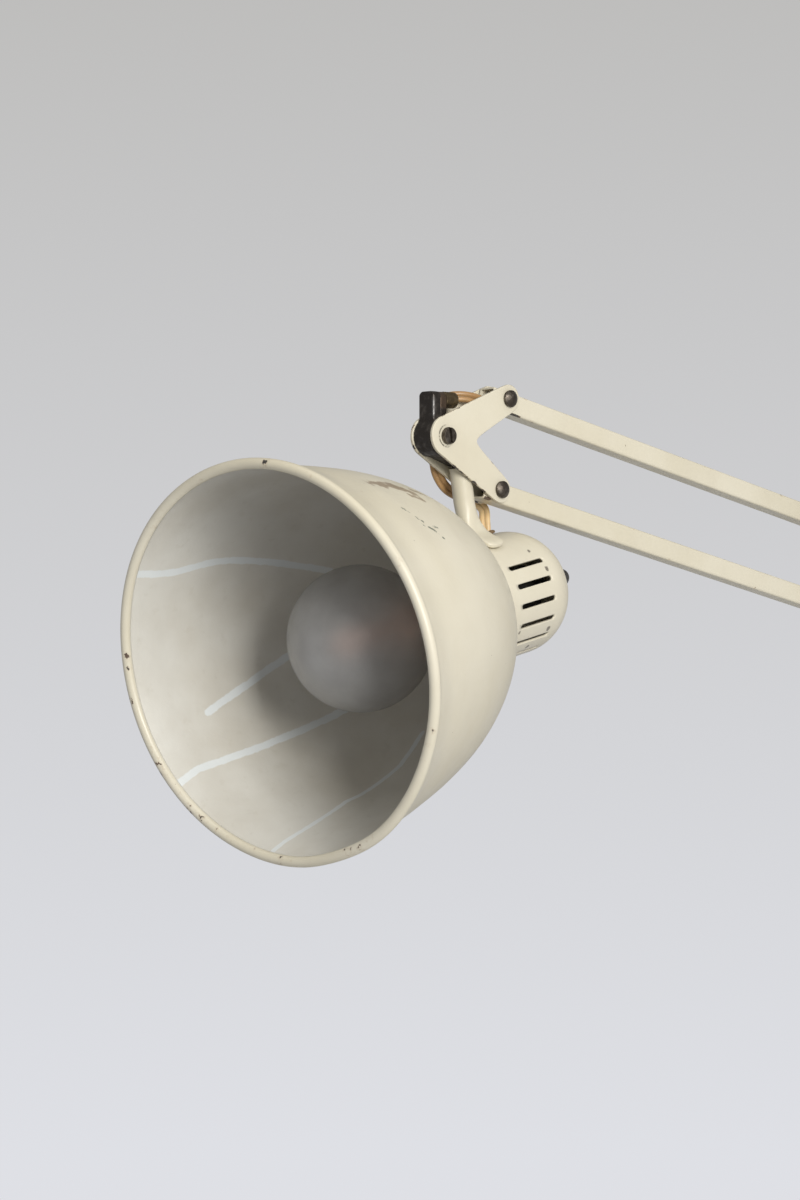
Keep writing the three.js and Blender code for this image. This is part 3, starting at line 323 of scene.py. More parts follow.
amber = insulation("amber_insulation", (0.80, 0.53, 0.24), (0.66, 0.38, 0.14))
# The pale copy is the amber with painted light, and the brown copy the amber with painted shade.
amber_painted_lit = insulation("amber_insulation_painted_lit", (0.82, 0.64, 0.37), (0.72, 0.50, 0.25))
amber_painted_shade = insulation("amber_insulation_painted_shade", (0.50, 0.31, 0.14), (0.36, 0.205, 0.085))


def flex_skin(name, line, wide):
    """The flex's skin: at each point of the line a section as wide as the two cores. Its radius at an angle is
    the far side of the nearer core's circle, or of the web between the cores if that is thicker."""
    around = np.radians(np.arange(0, 360, 15.0) + 7.5)
    core, offset, web = FLEX_THICK / 2, (FLEX_WIDE - FLEX_THICK) / 2, 0.30 * FLEX_THICK
    radius = offset * np.abs(np.cos(around)) + np.sqrt(np.maximum(core**2 - (offset * np.sin(around)) ** 2, 0))
    radius = np.where(np.abs(np.cos(around)) < 0.45, np.maximum(radius, web / np.abs(np.sin(around))), radius)
    tangent = unit(np.gradient(line, axis=0))
    across = unit(wide - (wide * tangent).sum(1, keepdims=True) * tangent)
    through = np.cross(tangent, across)
    grid = (line[:, None] + (radius * np.cos(around))[None, :, None] * across[:, None]
            + (radius * np.sin(around))[None, :, None] * through[:, None])
    piece = skin(name, grid, flat=70)
    depth = np.clip(1 - radius / (0.7 * core), 0, 1) * 3
    return marked(piece, "groove", np.broadcast_to(np.clip(depth, 0, 1), grid.shape[:2]))


def fitted(piece, material, body, slot, *nodes):
    """Gives a piece its finish and its body, and hides the solids that it stands for. The slot is not used."""
    piece.data.materials.append(material)
    if body:
        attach(piece, body)
    if nodes:
        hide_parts(*nodes)
    return piece


route = np.vstack([np.array(LEAD), coil_route(), [[160.3, 50 + PLUG_SIDE, PLUG_LEVEL]]]) * MM
free_line = flex_line(route)
free_length = float(np.linalg.norm(np.diff(free_line, axis=0), axis=1).sum())
gone = np.linspace(0, free_length, len(free_line))
turned_up = eased_share((gone - 0.05) / 0.045) * eased_share((free_length - 0.008 - gone) / 0.05) * math.pi / 2
heading = unit(np.gradient(free_line, axis=0))
level_side = unit(np.cross(heading, [0, 0, 1]))
stance = np.cos(turned_up)[:, None] * level_side + np.sin(turned_up)[:, None] * np.array([0, 0, 1.0])
free_flex = fitted(flex_skin("free_flex", free_line, stance), amber, "base", "amber_flex",
                   "flex_lead", "flex_coil", "flex_tail")

# ---- Plug, coil tie and strain relief ----
# A flat two-pin plug of black moulding with grip ribs and plated pins, a soft strap round the coil,
# and a tapered ribbed sleeve that keeps the flex from kinking where it leaves the base.


def turned_grid(profile, sides, start, axis, side):
    """A profile of (radius, distance) turned about the axis through start; side is the direction of angle 0."""
    profile = np.asarray(profile, float) * MM
    angle = np.linspace(0, 2 * np.pi, sides, endpoint=False)
    axis, side = unit(np.asarray(axis, float)), unit(np.asarray(side, float))
    third = np.cross(axis, side)
    spoke = np.cos(angle)[:, None] * side + np.sin(angle)[:, None] * third
    return np.asarray(start, float) + profile[:, None, 1:2] * axis + profile[:, None, 0:1] * spoke[None]


def eased(points, radius, closed=False, steps=5):
    """A line of 2-D points whose corners are rounded: each becomes a curve between points one radius, or under
    half a side, away from it along both sides, drawn towards the corner."""
    p = np.asarray(points, float)
    before, after = np.roll(p, 1, 0), np.roll(p, -1, 0)
    back, on = before - p, after - p
    cut_back = np.minimum(radius, 0.45 * np.linalg.norm(back, axis=1))[:, None]
    cut_on = np.minimum(radius, 0.45 * np.linalg.norm(on, axis=1))[:, None]
    a, b = p + unit(back) * cut_back, p + unit(on) * cut_on
    u = np.linspace(0, 1, steps)[None, :, None]
    curve = (1 - u) ** 2 * a[:, None] + 2 * u * (1 - u) * p[:, None] + u**2 * b[:, None]
    if closed:
        return curve.reshape(-1, 2)
    return np.vstack([p[:1], curve[1:-1].reshape(-1, 2), p[-1:]])


def moulding(name, colour=(0.022, 0.020, 0.019), roughness=0.32):
    """Black phenolic moulding: slightly brown, dulled and finely scratched with handling."""
    material = finish_of(name, colour, roughness, Coat_Weight=0.2, Coat_Roughness=0.25)
    shader = material.node_tree.nodes["Principled BSDF"]
    dull = between(material, grain(material, 140, 5), 0.35, 0.7)
    lighter = tuple(2.2 * c for c in colour)
    wired(material, (blended(material, dull, colour, lighter), shader.inputs["Base Color"]),
          (between(material, grain(material, 420, 4), 0.3, 0.7, roughness, roughness + 0.25),
           shader.inputs["Roughness"]))
    roughened(material, grain(material, 1500, 3), 0.15, 0.0001)
    return material


def plating(name, colour, stain, roughness=0.3):
    """Plated or bare metal with patches of tarnish and small scratches."""
    material = finish_of(name, colour, roughness, Metallic=1.0)
    shader = material.node_tree.nodes["Principled BSDF"]
    patch = between(material, grain(material, 220, 6), 0.42, 0.66)
    wired(material, (blended(material, patch, colour, stain), shader.inputs["Base Color"]),
          (between(material, patch, 0, 1, roughness, roughness + 0.35), shader.inputs["Roughness"]))
    roughened(material, grain(material, 1800, 4), 0.3, 0.0001)
    return material


black_moulding = moulding("black_moulding")
nickel = plating("dull_nickel", (0.56, 0.53, 0.46), (0.30, 0.26, 0.20))
plug_back = np.array([160.0, 50 + PLUG_SIDE, PLUG_LEVEL]) * MM
away = np.linspace(0, 36, 73)
half_wide = np.interp(away, [0, 1.2, 4, 14, 34.6, 36], [2.6, 3.4, 4.2, 9, 9, 8.2])
half_thick = np.minimum(half_wide, 6.2) * np.interp(away, [0, 14, 36], [0.94, 1, 1])
ribs = np.where((away > 16) & (away < 30), 0.35 * np.sin(np.pi * (away - 16) / 2) ** 2, 0)
round_plug = np.radians(np.arange(0, 360, 7.5))
corner_power = np.interp(away, [0, 4, 14], [1.0, 1.0, 0.5])[:, None]
plug_side = np.sign(np.cos(round_plug)) * np.abs(np.cos(round_plug)) ** corner_power * (half_wide - ribs)[:, None]
plug_up = np.sign(np.sin(round_plug)) * np.abs(np.sin(round_plug)) ** corner_power * half_thick[:, None]
plug_grid = plug_back + MM * np.stack([np.broadcast_to(-away[:, None], plug_up.shape), plug_side, plug_up], -1)
plug_cap = fitted(skin("plug_cap", plug_grid, flat=50), black_moulding, "base", "bakelite", "plug_body")
pin_profile = eased([[2, 0], [2, 17.6], [1.3, 19.2], [0.4, 19.3]], 0.8)
pin_grids = [turned_grid(pin_profile, 24, plug_back + MM * np.array([-36.1, y, 0]), (-1, 0, 0), (0, 1, 0))
             for y in (-4.75, 4.75)]
plug_prongs = [skin(f"plug_prong_{k}", grid) for k, grid in enumerate(pin_grids)]
fitted(plug_prongs[0], nickel, "base", "plated_brass", "plug_pins")
fitted(plug_prongs[1], nickel, "base", "plated_brass")

strap_turn = np.radians(60)
strap_out = np.array([math.cos(strap_turn), math.sin(strap_turn), 0])
strap_along = np.array([-math.sin(strap_turn), math.cos(strap_turn), 0])
strap_path = eased([[19.8, 0.75], [36.2, 0.75], [36.2, 17.05], [19.8, 17.05]], 2.2, closed=True)
strap_edge = eased([[-3, -0.38], [3, -0.38], [3, 0.38], [-3, 0.38]], 0.3, closed=True, steps=3)
strap_normal = unit(np.roll(strap_path, -1, 0) - np.roll(strap_path, 1, 0))[:, ::-1] * [1, -1]
strap_flat = strap_path[:, None] + strap_edge[None, :, 1:2] * strap_normal[:, None]
strap_grid = (np.append(COIL_MID, 0) + strap_flat[..., 0:1] * strap_out + strap_flat[..., 1:2] * [0, 0, 1.0]
              + strap_edge[None, :, 0:1] * strap_along) * MM
coil_strap = fitted(skin("coil_strap", strap_grid, loop=True, flat=50), black_moulding, "base", "bakelite",
                    "coil_tie")

sleeve_at = np.linspace(0, 34, 103)
sleeve_radius = np.interp(sleeve_at, [0, 7, 7.4, 9, 34], [4.5, 4.5, 4.4, 3.9, 3.0])
sleeve_ribs = np.where((sleeve_at > 9) & (sleeve_at < 31), 0.55 * np.sin(np.pi * (sleeve_at - 9) / 2.2) ** 2, 0)
sleeve_grid = turned_grid(np.column_stack([sleeve_radius - sleeve_ribs, sleeve_at]), 36,
                          (106 * MM, 0, 6 * MM), (1, 0, 0), (0, 0, 1))
relief_sleeve = fitted(skin("relief_sleeve", sleeve_grid), black_moulding, "base", "bakelite", "strain_relief")

# ---- Base: felt pad, casting, bush and ring ----
# A round iron casting with a low rim and a boss for the swivel, enamelled cream like the shade.
# A felt pad is glued under it, and a plated bush is pressed into the boss.


def enamel(name, shift, chipped=1.0):
    """Cream stoving enamel, aged: slow yellowing, faint orange peel, hair scratches and small dark specks. Where
    the 'worn' value is high and the noise agrees, it has chipped to brown primer and dark metal."""
    cream, yellowed = (0.690, 0.645, 0.525), (0.620, 0.570, 0.440)
    material = finish_of(name, cream, 0.38, Coat_Weight=0.12, Coat_Roughness=0.3)
    shader = material.node_tree.nodes["Principled BSDF"]
    base = blended(material, between(material, grain(material, 14, 5, shift=shift), 0.36, 0.66), cream,
                   yellowed)
    smear = between(material, grain(material, 60, 6, stretch=(1, 1, 0.35), shift=shift), 0.54, 0.72, 0.0, 0.35)
    base = blended(material, smear, base, (0.60, 0.55, 0.44))
    speck = between(material, grain(material, 520, 2, shift=shift), 0.775, 0.795)
    worn = added(material, "Attribute", attribute_name="worn")
    rough_edge = sum_of(material, grain(material, 330, 5, shift=shift),
                        grain(material, 75, 4, shift=shift), "ADD")
    raised = sum_of(material, rough_edge, sum_of(material, worn.outputs["Fac"], 0.42 * chipped), "ADD")
    chip = between(material, raised, 1.455, 1.47)
    rubbed = between(material, raised, 1.33, 1.46, 0.0, 0.4)
    metal = blended(material, between(material, grain(material, 260, 3, shift=shift), 0.4, 0.6),
                    (0.115, 0.075, 0.050), (0.045, 0.040, 0.036))
    colour = blended(material, speck, base, (0.20, 0.16, 0.11))
    colour = blended(material, rubbed, colour, (0.46, 0.36, 0.25))
    colour = blended(material, chip, colour, metal)
    wired(material, (colour, shader.inputs["Base Color"]),
          (between(material, grain(material, 90, 5, shift=shift), 0.3, 0.7, 0.30, 0.50),
           shader.inputs["Roughness"]))
    peel = sum_of(material, grain(material, 420, 2, shift=shift), sum_of(material, chip, -1.6), "ADD")
    roughened(material, peel, 0.16, 0.00035)
    return material


base_enamel = enamel("base_enamel", 0.4)
Z_UP, X_OUT, Y_FAR = (0, 0, 1), (1, 0, 0), (0, 1, 0)
casting_profile = eased([[14, 2.8], [107.5, 2.8], [110, 5.2], [110, 11.2], [107, 14], [70, 18.8], [32, 24],
                         [23, 28], [20, 36], [19, 46], [10, 46], [10, 21.5], [14, 21.5]], 3.0, closed=True,
                         steps=7)
casting = skin("cast_base", turned_grid(casting_profile, 160, (0, 0, 0), Z_UP, X_OUT), loop=True)
at_foot = np.exp(-((casting_profile[:, 0] - 109.5) ** 2) / 6)
on_boss = np.exp(-((casting_profile[:, 1] - 45) ** 2) / 4)
rim_wear = at_foot + on_boss * 0.8
marked(casting, "worn", np.repeat(rim_wear[:, None], 160, 1))
fitted(casting, base_enamel, "base", "cream_paint", "base_casting")

felt = finish_of("green_felt", (0.030, 0.050, 0.036), 0.95, Sheen_Weight=0.5, Sheen_Roughness=0.6)
felt_shader = felt.node_tree.nodes["Principled BSDF"]
wired(felt, (blended(felt, between(felt, grain(felt, 500, 6), 0.35, 0.65), (0.022, 0.036, 0.026),
                     (0.055, 0.080, 0.058)), felt_shader.inputs["Base Color"]))
roughened(felt, grain(felt, 1400, 5, stretch=(1, 0.5, 1)), 0.7, 0.0004)
pad_profile = eased([[96, 0], [104, 0], [104, 2.5], [96, 2.5]], 0.7)
felt_disc = skin("felt_disc", turned_grid(pad_profile, 128, (0, 0, 0), Z_UP, X_OUT))
fitted(felt_disc, felt, "base", "felt", "felt_pad")

brass = plating("worn_brass", (0.52, 0.42, 0.24), (0.24, 0.17, 0.09))
bush_profile = eased([[6.3, 22.5], [8.5, 22.5], [8.5, 46.3], [17, 46.3], [17, 48.3], [6.3, 48.3]], 0.5,
                     closed=True)
fitted(skin("bush", turned_grid(bush_profile, 72, (0, 0, 0), Z_UP, X_OUT), loop=True), brass, "base",
       "plated_brass", "swivel_bush")

# ---- Swivel post, base plates and their pins ----
# A dark casting turns in the bush. Its upright block carries two pressed steel plates, held by a bolt,
# and the lower arm's two bars and springs hang on pins through the plates.


def browned(name, colour=(0.10, 0.088, 0.078), bright=(0.30, 0.27, 0.24), roughness=0.42):
    """Browned steel or iron: dark skin, rubbed bright in places, with fine pits."""
    material = finish_of(name, colour, roughness, Metallic=0.85)
    shader = material.node_tree.nodes["Principled BSDF"]
    rubbed = between(material, grain(material, 260, 5), 0.50, 0.70, 0.0, 0.85)
    wired(material, (blended(material, rubbed, colour, bright), shader.inputs["Base Color"]),
          (between(material, grain(material, 500, 4), 0.3, 0.7, roughness - 0.1, roughness + 0.25),
           shader.inputs["Roughness"]))
    roughened(material, sum_of(material, grain(material, 1300, 4), grain(material, 340, 4), "ADD"), 0.35, 0.0002)
    return material


def cast_copy(name, node, voxel, passes):
    """A casting from its solid: the loose triangles are merged, filled with cubes of one voxel, and averaged,
    so that its edges come out rounded and its skin slightly soft, as a sand casting's are."""
    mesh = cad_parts[node].data.copy()
    work = bmesh.new()
    work.from_mesh(mesh)
    bmesh.ops.remove_doubles(work, verts=work.verts, dist=1e-6)
    work.to_mesh(mesh)
    work.free()
    mesh.materials.clear()
    piece = bpy.data.objects.new(name, mesh)
    bpy.context.collection.objects.link(piece)
    cubes = piece.modifiers.new("cubes", "REMESH")
    cubes.mode, cubes.voxel_size, cubes.use_smooth_shade = "VOXEL", voxel, True
    soft = piece.modifiers.new("soft", "SMOOTH")
    soft.iterations, soft.factor = passes, 0.5
    done = bpy.data.meshes.new_from_object(piece.evaluated_get(bpy.context.evaluated_depsgraph_get()))
    piece.modifiers.clear()
    piece.data = done
    done.name = name
    done.shade_smooth()
    return piece


iron = browned("browned_iron")
fitted(cast_copy("post", "swivel_post", 0.0005, 4), iron, "turntable", "dark_casting", "swivel_post")


def hull_line(discs, count=180):
    """The tightest line round a set of (x, z, radius) discs: in each direction, the far point of the disc that
    reaches furthest that way."""
    discs = np.asarray(discs, float)
    at = np.linspace(0, 2 * np.pi, count, endpoint=False)
    way = np.column_stack([np.cos(at), np.sin(at)])
    best = (way @ discs[:, :2].T + discs[:, 2]).argmax(1)
    return discs[best, :2] + discs[best, 2:] * way


def plate_grid(outline, side, thickness=1.6, inner=5.6, round_over=0.35):
    """A pressed plate: rows step in from the outline on both faces and round its edge. The outline moves in
    along its own normals; side is -1 for the near plate and 1 for the far one."""
    along = unit(np.roll(outline, -1, 0) - np.roll(outline, 1, 0))
    inward = np.column_stack([-along[:, 1], along[:, 0]])
    area = (outline[:, 0] * np.roll(outline[:, 1], -1) - np.roll(outline[:, 0], -1) * outline[:, 1]).sum()
    inward *= np.sign(area)
    bend = np.radians(np.linspace(0, 90, 4))
    inset = np.concatenate([[2.2, 1.0, 0.6], round_over * (1 - np.sin(bend)), round_over * (1 - np.cos(bend)),
                            [0.6, 1.0, 2.2]])
    depth = np.concatenate([[0, 0, 0], round_over * (1 - np.cos(bend)), thickness - round_over * (1 - np.sin(bend)),
                            [thickness] * 3])
    flat = outline[None] + inset[:, None, None] * inward[None]
    y = np.broadcast_to(side * (inner + depth)[:, None], flat.shape[:2])
    wear = np.broadcast_to(np.clip(1 - inset / 1.0, 0, 1)[:, None], flat.shape[:2])
    return np.stack([flat[..., 0], y, flat[..., 1]], -1) * MM, wear


def plate_pair(stem_name, outline, middle, material, body, nodes):
    """A near and a far plate of one outline, with their flat faces closed round the middle point."""
    for side, word, node in ((-1, "near", nodes[0]), (1, "far", nodes[1])):
        grid, wear = plate_grid(outline, side)
        ends = [np.array([middle[0], side * y, middle[1]]) * MM for y in (5.6, 7.2)]
        piece = marked(skin(f"{stem_name}_{word}", grid, poles=ends), "worn", wear)
        fitted(piece, material, body, "cream_paint", node)


def way(degrees):
    """The direction in the arm's plane that leans so many degrees from upright: its sine along X, its cosine up."""
    return np.array([math.sin(math.radians(degrees)), math.cos(math.radians(degrees))])


LOWER_WAY, UPPER_WAY = way(22), np.array([-math.cos(math.radians(12.04)), math.sin(math.radians(12.04))])
base_front = np.array([-19.0, 104.0])
base_rear = base_front + [38.5, -8]
base_anchor = base_front + [-24, 0]
elbow_front, elbow_rear = base_front + 385 * LOWER_WAY, base_rear + 385 * LOWER_WAY
elbow_bottom = elbow_front + [6, 30]
elbow_top = elbow_bottom + [5.1, 40.9]
elbow_anchor = elbow_top + [14, 16]
head_top, head_bottom = elbow_top + 430 * UPPER_WAY, elbow_bottom + 430 * UPPER_WAY
pivot = head_top - [38.4, 18.2]
lower_hook, upper_hook = base_front + 185 * LOWER_WAY, elbow_top + 190 * UPPER_WAY
plate_enamel = enamel("plate_enamel", 1.7)
post_discs = [[*base_anchor, 6], [*base_front, 8], [*base_rear, 8], [11, 60, 5], [-9, 64, 5]]
plate_pair("post_web", hull_line(post_discs), (0, 88), plate_enamel, "turntable",
           ("base_plate_near", "base_plate_far"))

pin_steel = browned("pin_steel", (0.075, 0.062, 0.050), (0.21, 0.185, 0.155), 0.36)


def domed_pin(name, at, body, node, radius=3.8, height=2.9):
    """A shouldered pin through both plates, with a low dome riveted over each end. Its outline is turned about Y:
    a short upright edge, then a dome whose height falls off as the square of the radius."""
    share = np.linspace(1, 0.12, 10)
    dome = np.column_stack([radius * share, 7.5 + 0.42 * height + 0.58 * height * (1 - share**2)])
    half = np.vstack([[1.5, 0.4], [1.5, 7.5], [radius - 0.15, 7.5], [radius, 7.7], dome])
    profile = np.vstack([half[::-1] * [1, -1], half])
    grid = turned_grid(profile, 40, (at[0] * MM, 0, at[1] * MM), Y_FAR, X_OUT)
    return fitted(skin(name, grid), pin_steel, body, "dark_steel", node)


def hook_rod(name, at, body, node):
    """A straight rod that stands out past both plates, with a groove near each end for a spring's hook."""
    half = np.vstack([[1.5, 0.3], eased([[1.5, 13.4], [1.5, 13.9], [1.05, 14.2], [1.05, 15.0], [1.5, 15.3],
                                         [1.5, 16.6], [1.1, 17.0]], 0.3)])
    profile = np.vstack([half[::-1] * [1, -1], half])
    grid = turned_grid(profile, 28, (at[0] * MM, 0, at[1] * MM), Y_FAR, X_OUT)
    return fitted(skin(name, grid), pin_steel, body, "dark_steel", node)


domed_pin("base_rivet_front", base_front, "turntable", "base_pin_front")
domed_pin("base_rivet_rear", base_rear, "turntable", "base_pin_rear")
domed_pin("post_rivet", (0, 72), "turntable", "post_bolt")
hook_rod("base_hook_rod", base_anchor, "turntable", "base_spring_pin")
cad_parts["retaining_ring"].data.materials.clear()
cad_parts["retaining_ring"].data.materials.append(pin_steel)

# ---- Arm bars ----
# Four square steel tubes, 9.5 mm across with a 0.9 mm wall, enamelled with the rest. Each is drilled for its
# pins near the ends, and the flex runs inside the front lower bar and the top upper bar.


FOOT_PAINTED_SHADE = 3


def bar_grid(start, end):
    """A square tube between two pins: rows run out along the outside, in at the open end and back along the
    inside. Its corners are rounded, and its middle line lies 1 mm under the line through the pins. With it come
    the wear at the ends and corners, and 1 along the near lower edge close to the first pin, 0 elsewhere."""
    start, end = np.asarray(start, float), np.asarray(end, float)
    length = np.linalg.norm(end - start)
    run = (end - start) / length
    rise = np.array([-run[1], run[0]])

    def section(half, radius):
        corners = [[-half, -half], [half, -half], [half, half], [-half, half]]
        line = eased(corners, radius, closed=True, steps=6)
        return np.vstack([np.vstack([part, part[-1] + (nxt[0] - part[-1]) * 0.06,
                                     part[-1] + (nxt[0] - part[-1]) * 0.94])
                          for part, nxt in zip(np.split(line, 4), np.split(np.roll(line, -6, 0), 4), strict=True)])

    outside, shoulder, inside = section(4.75, 1.3), section(4.55, 1.15), section(3.85, 0.6)
    stations = np.concatenate([[-7.5], np.arange(-7.3, 20, 1.3), np.linspace(24, length - 10, 50), [length + 7.3],
                               [length + 7.5]])
    rows = [(shoulder, stations[0])] + [(outside, x) for x in stations[1:-1]] + [(shoulder, stations[-1])]
    rows += [(inside, stations[-1] - 0.1), (inside, stations[0] + 0.1)]
    across = np.stack([r for r, _ in rows])
    x = np.array([x for _, x in rows])
    flat = start + x[:, None, None] * run + (across[..., 1:2] - 1.0) * rise
    grid = np.stack([flat[..., 0], across[..., 0], flat[..., 1]], -1) * MM
    at_end = np.clip(1 - np.minimum(x + 7.5, length + 7.5 - x) / 14, 0, 1)
    on_corner = np.clip((np.abs(across).sum(-1) - 7.6) / 1.0, 0, 1)
    near_foot = (across[..., 0] < -3.9) & (across[..., 1] < -4.1)
    foot_shade_line = near_foot * np.clip(1.5 - np.abs(x - 7.5)[:, None] / 3.5, 0, 1)
    return grid, at_end[:, None] * 0.62 + on_corner * 0.40, foot_shade_line


def bar(name, start, end, body, node, material):
    """One enamelled bar. Only the top bar of the upper arm gets a short dark line of painted shade along its near
    lower edge at its foot.
    """
    grid, wear, foot = bar_grid(start, end)
    # A short dark line along the near lower edge at the foot is painted shade, drawn with the enamel's chip
    # colours.
    if body == "upper_top":
        wear = np.maximum(wear, FOOT_PAINTED_SHADE * foot)
    tube = marked(skin(name, grid, loop=True, flat=50), "worn", wear)
    return fitted(tube, material, body, "cream_paint", node)


arm_enamel = enamel("arm_enamel", 3.1, 0.9)
bar("front_lower_tube", base_front, elbow_front, "lower_front", "lower_front_bar", arm_enamel)
bar("rear_lower_tube", base_rear, elbow_rear, "lower_rear", "lower_rear_bar", arm_enamel)
bar("top_upper_tube", head_top, elbow_top, "upper_top", "upper_top_bar", arm_enamel)
bar("bottom_upper_tube", head_bottom, elbow_bottom, "upper_bottom", "upper_bottom_bar", arm_enamel)
hook_rod("lower_hook_rod", lower_hook, "lower_front", "lower_hook_pin")
hook_rod("upper_hook_rod", upper_hook, "upper_top", "upper_hook_pin")

# ---- Springs ----
# Two pairs of close-wound tension springs balance the arm. Each hangs by an open hook in the groove of a rod
# on the bracket, and by another on a rod through the bar.


def spring_line(span):
    """The wire's middle line between two rods: a hook three quarters round the rod, a short straight shank,
    a helix whose radius grows in from nothing and shrinks back, and the same hook at the other end."""
    hook = np.array([[1.7, 0, 1.6], [0.2, 0, 2.2], [-1.6, 0, 1.5], [-2.2, 0, -0.3], [-1.3, 0, -1.9], [0.6, 0, -2.2],
                     [3.2, 0, -1.5], [6.5, 0, -0.4], [10, 0, 0], [12.6, 0, 0]])
    turns = round((span - 28) / 1.9)
    step = np.arange(0, turns * 16 + 1) / 16
    reach = 4.4 * eased_share(step / 0.6) * eased_share((turns - step) / 0.6)
    helix = np.column_stack([14 + (span - 28) * step / turns, reach * np.sin(2 * np.pi * step),
                             reach * np.cos(2 * np.pi * step)])
    near_hook = flex_line(hook, 0.45)
    far_hook = (near_hook * [-1, 1, -1] + [span, 0, 0])[::-1]
    return np.vstack([near_hook, helix, far_hook])


def wire_grid(line, radius, sides=8):
    """A round wire along a line; each ring stands square to it, turned so that it doesn't twist about Y."""
    tangent = unit(np.gradient(line, axis=0))
    guide = np.broadcast_to(np.array([1.0, 0.35, 0.0]), line.shape)
    across = unit(np.cross(tangent, guide))
    through = np.cross(tangent, across)
    at = np.linspace(0, 2 * np.pi, sides, endpoint=False)[None, :, None]
    return line[:, None] + radius * (np.cos(at) * across[:, None] + np.sin(at) * through[:, None])


spring_wire = plating("spring_wire", (0.42, 0.41, 0.40), (0.22, 0.19, 0.16), 0.34)
for word, y in (("near", -14.6), ("far", 14.6)):
    for arm, rod, hooked, bodies in (("lower", base_anchor, lower_hook, ("turntable", "lower_front")),
                                     ("upper", elbow_anchor, upper_hook, ("elbow", "upper_top"))):
        span = float(np.linalg.norm(hooked - rod))
        run = (hooked - rod) / span
        line = spring_line(span)
        placed = np.column_stack([rod[0] + line[:, 0] * run[0] - line[:, 2] * run[1], y + line[:, 1],
                                  rod[1] + line[:, 0] * run[1] + line[:, 2] * run[0]]) * MM
        coil = fitted(skin(f"{arm}_spring_{word}_coil", wire_grid(placed, 0.6 * MM), flat=80), spring_wire, None,
                      "spring_steel", f"{arm}_spring_{word}")
        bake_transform(coil)

# ---- Elbow ----
# Two five-cornered plates join the lower arm to the upper one. Four domed pins hold the bars between them,
# and a rod behind carries the upper springs.
elbow_discs = [[*elbow_front, 7.5], [*elbow_rear, 7.5], [*elbow_bottom, 7.5], [*elbow_top, 7.5],
               [*elbow_anchor, 5.5]]
plate_pair("elbow_web", hull_line(elbow_discs, 220), (elbow_bottom + elbow_rear) / 2, plate_enamel, "elbow",
           ("elbow_plate_near", "elbow_plate_far"))
domed_pin("elbow_rivet_front", elbow_front, "elbow", "elbow_pin_lower_front")
domed_pin("elbow_rivet_rear", elbow_rear, "elbow", "elbow_pin_lower_rear")
domed_pin("elbow_rivet_bottom", elbow_bottom, "elbow", "elbow_pin_upper_bottom")
domed_pin("elbow_rivet_top", elbow_top, "elbow", "elbow_pin_upper_top")
hook_rod("elbow_hook_rod", elbow_anchor, "elbow", "elbow_spring_pin")

# ---- Head bracket ----
# Two forked plates hold the ends of the upper bars and the knuckle's pivot, a slotted screw with a nut behind.
# The fork is one pressing with a rounded crotch; a dark crescent painted round the screw's left and lower side is
# the screw head's shadow.


def fork_line(root, tips, count=260, softness=9):
    """A fork's outline round its root. Along each ray from the root the reach of one arm is the least of its
    hull's support over the cosine of the angle between, and the two arms' reaches are joined by a high-power
    mean, so the crotch between them is rounded."""
    ray = np.linspace(0, 2 * np.pi, count, endpoint=False)
    face = np.linspace(0, 2 * np.pi, 720, endpoint=False)
    towards = np.column_stack([np.cos(face), np.sin(face)])
    facing = np.cos(face[None] - ray[:, None])
    reaches = []
    for tip in tips:
        discs = np.array([root, tip], float)
        support = (towards @ (discs[:, :2] - discs[0, :2]).T + discs[:, 2]).max(1)
        reaches.append(np.where(facing > 0.02, support[None] / np.maximum(facing, 0.02), 1e9).min(1))
    reach = (reaches[0] ** softness + reaches[1] ** softness) ** (1 / softness)
    most = np.maximum(*reaches)
    split = np.abs(np.arctan2(np.sin(ray), np.cos(ray)) + math.radians(4.5)) < math.radians(60)
    reach = np.where(split, reach, most)
    line = np.asarray(root[:2]) + reach[:, None] * np.column_stack([np.cos(ray), np.sin(ray)])
    for _ in range(9):
        evened = (np.roll(line, 1, 0) + np.roll(line, -1, 0)) / 2
        line = np.where(split[:, None] & (reach < 24)[:, None], evened, line)
    return line


head_enamel = enamel("head_enamel", 5.2, 0.95)
head_shader = head_enamel.node_tree.nodes["Principled BSDF"]
plate_place = added(head_enamel, "TexCoord")
off_pivot = added(head_enamel, "Mapping", Location=(-pivot[0] * MM, 0, -pivot[1] * MM), Scale=(1, 0, 1))
ring_distance = added(head_enamel, "VectorMath", operation="LENGTH")
ring_side = added(head_enamel, "SeparateXYZ")
wired(head_enamel, (plate_place.outputs["Object"], off_pivot.inputs["Vector"]),
      (off_pivot.outputs[0], ring_distance.inputs[0]), (off_pivot.outputs[0], ring_side.inputs[0]))
ring_far = ring_distance.outputs["Value"]
# A ragged dark band just outside the screw head, kept to its left and lower side, is painted shadow of the screw
# head.
ring = sum_of(head_enamel, between(head_enamel, ring_far, 0.0044, 0.00465),
              between(head_enamel, ring_far, 0.0053, 0.00505))
screw_shadow_slope = sum_of(head_enamel, ring_side.outputs["X"],
                     sum_of(head_enamel, ring_side.outputs["Z"], 0.25), "ADD")
screw_shadow_side = between(head_enamel, screw_shadow_slope, 0.0012, -0.0015)
ring = sum_of(head_enamel, sum_of(head_enamel, ring, screw_shadow_side),
              between(head_enamel, grain(head_enamel, 800, 3), 0.36, 0.50, 0.15, 0.85))
plain_colour = head_shader.inputs["Base Color"].links[0].from_socket
wired(head_enamel, (blended(head_enamel, ring, plain_colour, (0.075, 0.068, 0.045)),
                    head_shader.inputs["Base Color"]))
fork = fork_line([*pivot, 9.0], [[*head_top, 6.4], [*head_bottom, 6.0]])
plate_pair("head_fork", fork, pivot, head_enamel, "head_bracket", ("head_plate_near", "head_plate_far"))
domed_pin("head_rivet_top", head_top, "head_bracket", "head_pin_top")
domed_pin("head_rivet_bottom", head_bottom, "head_bracket", "head_pin_bottom")

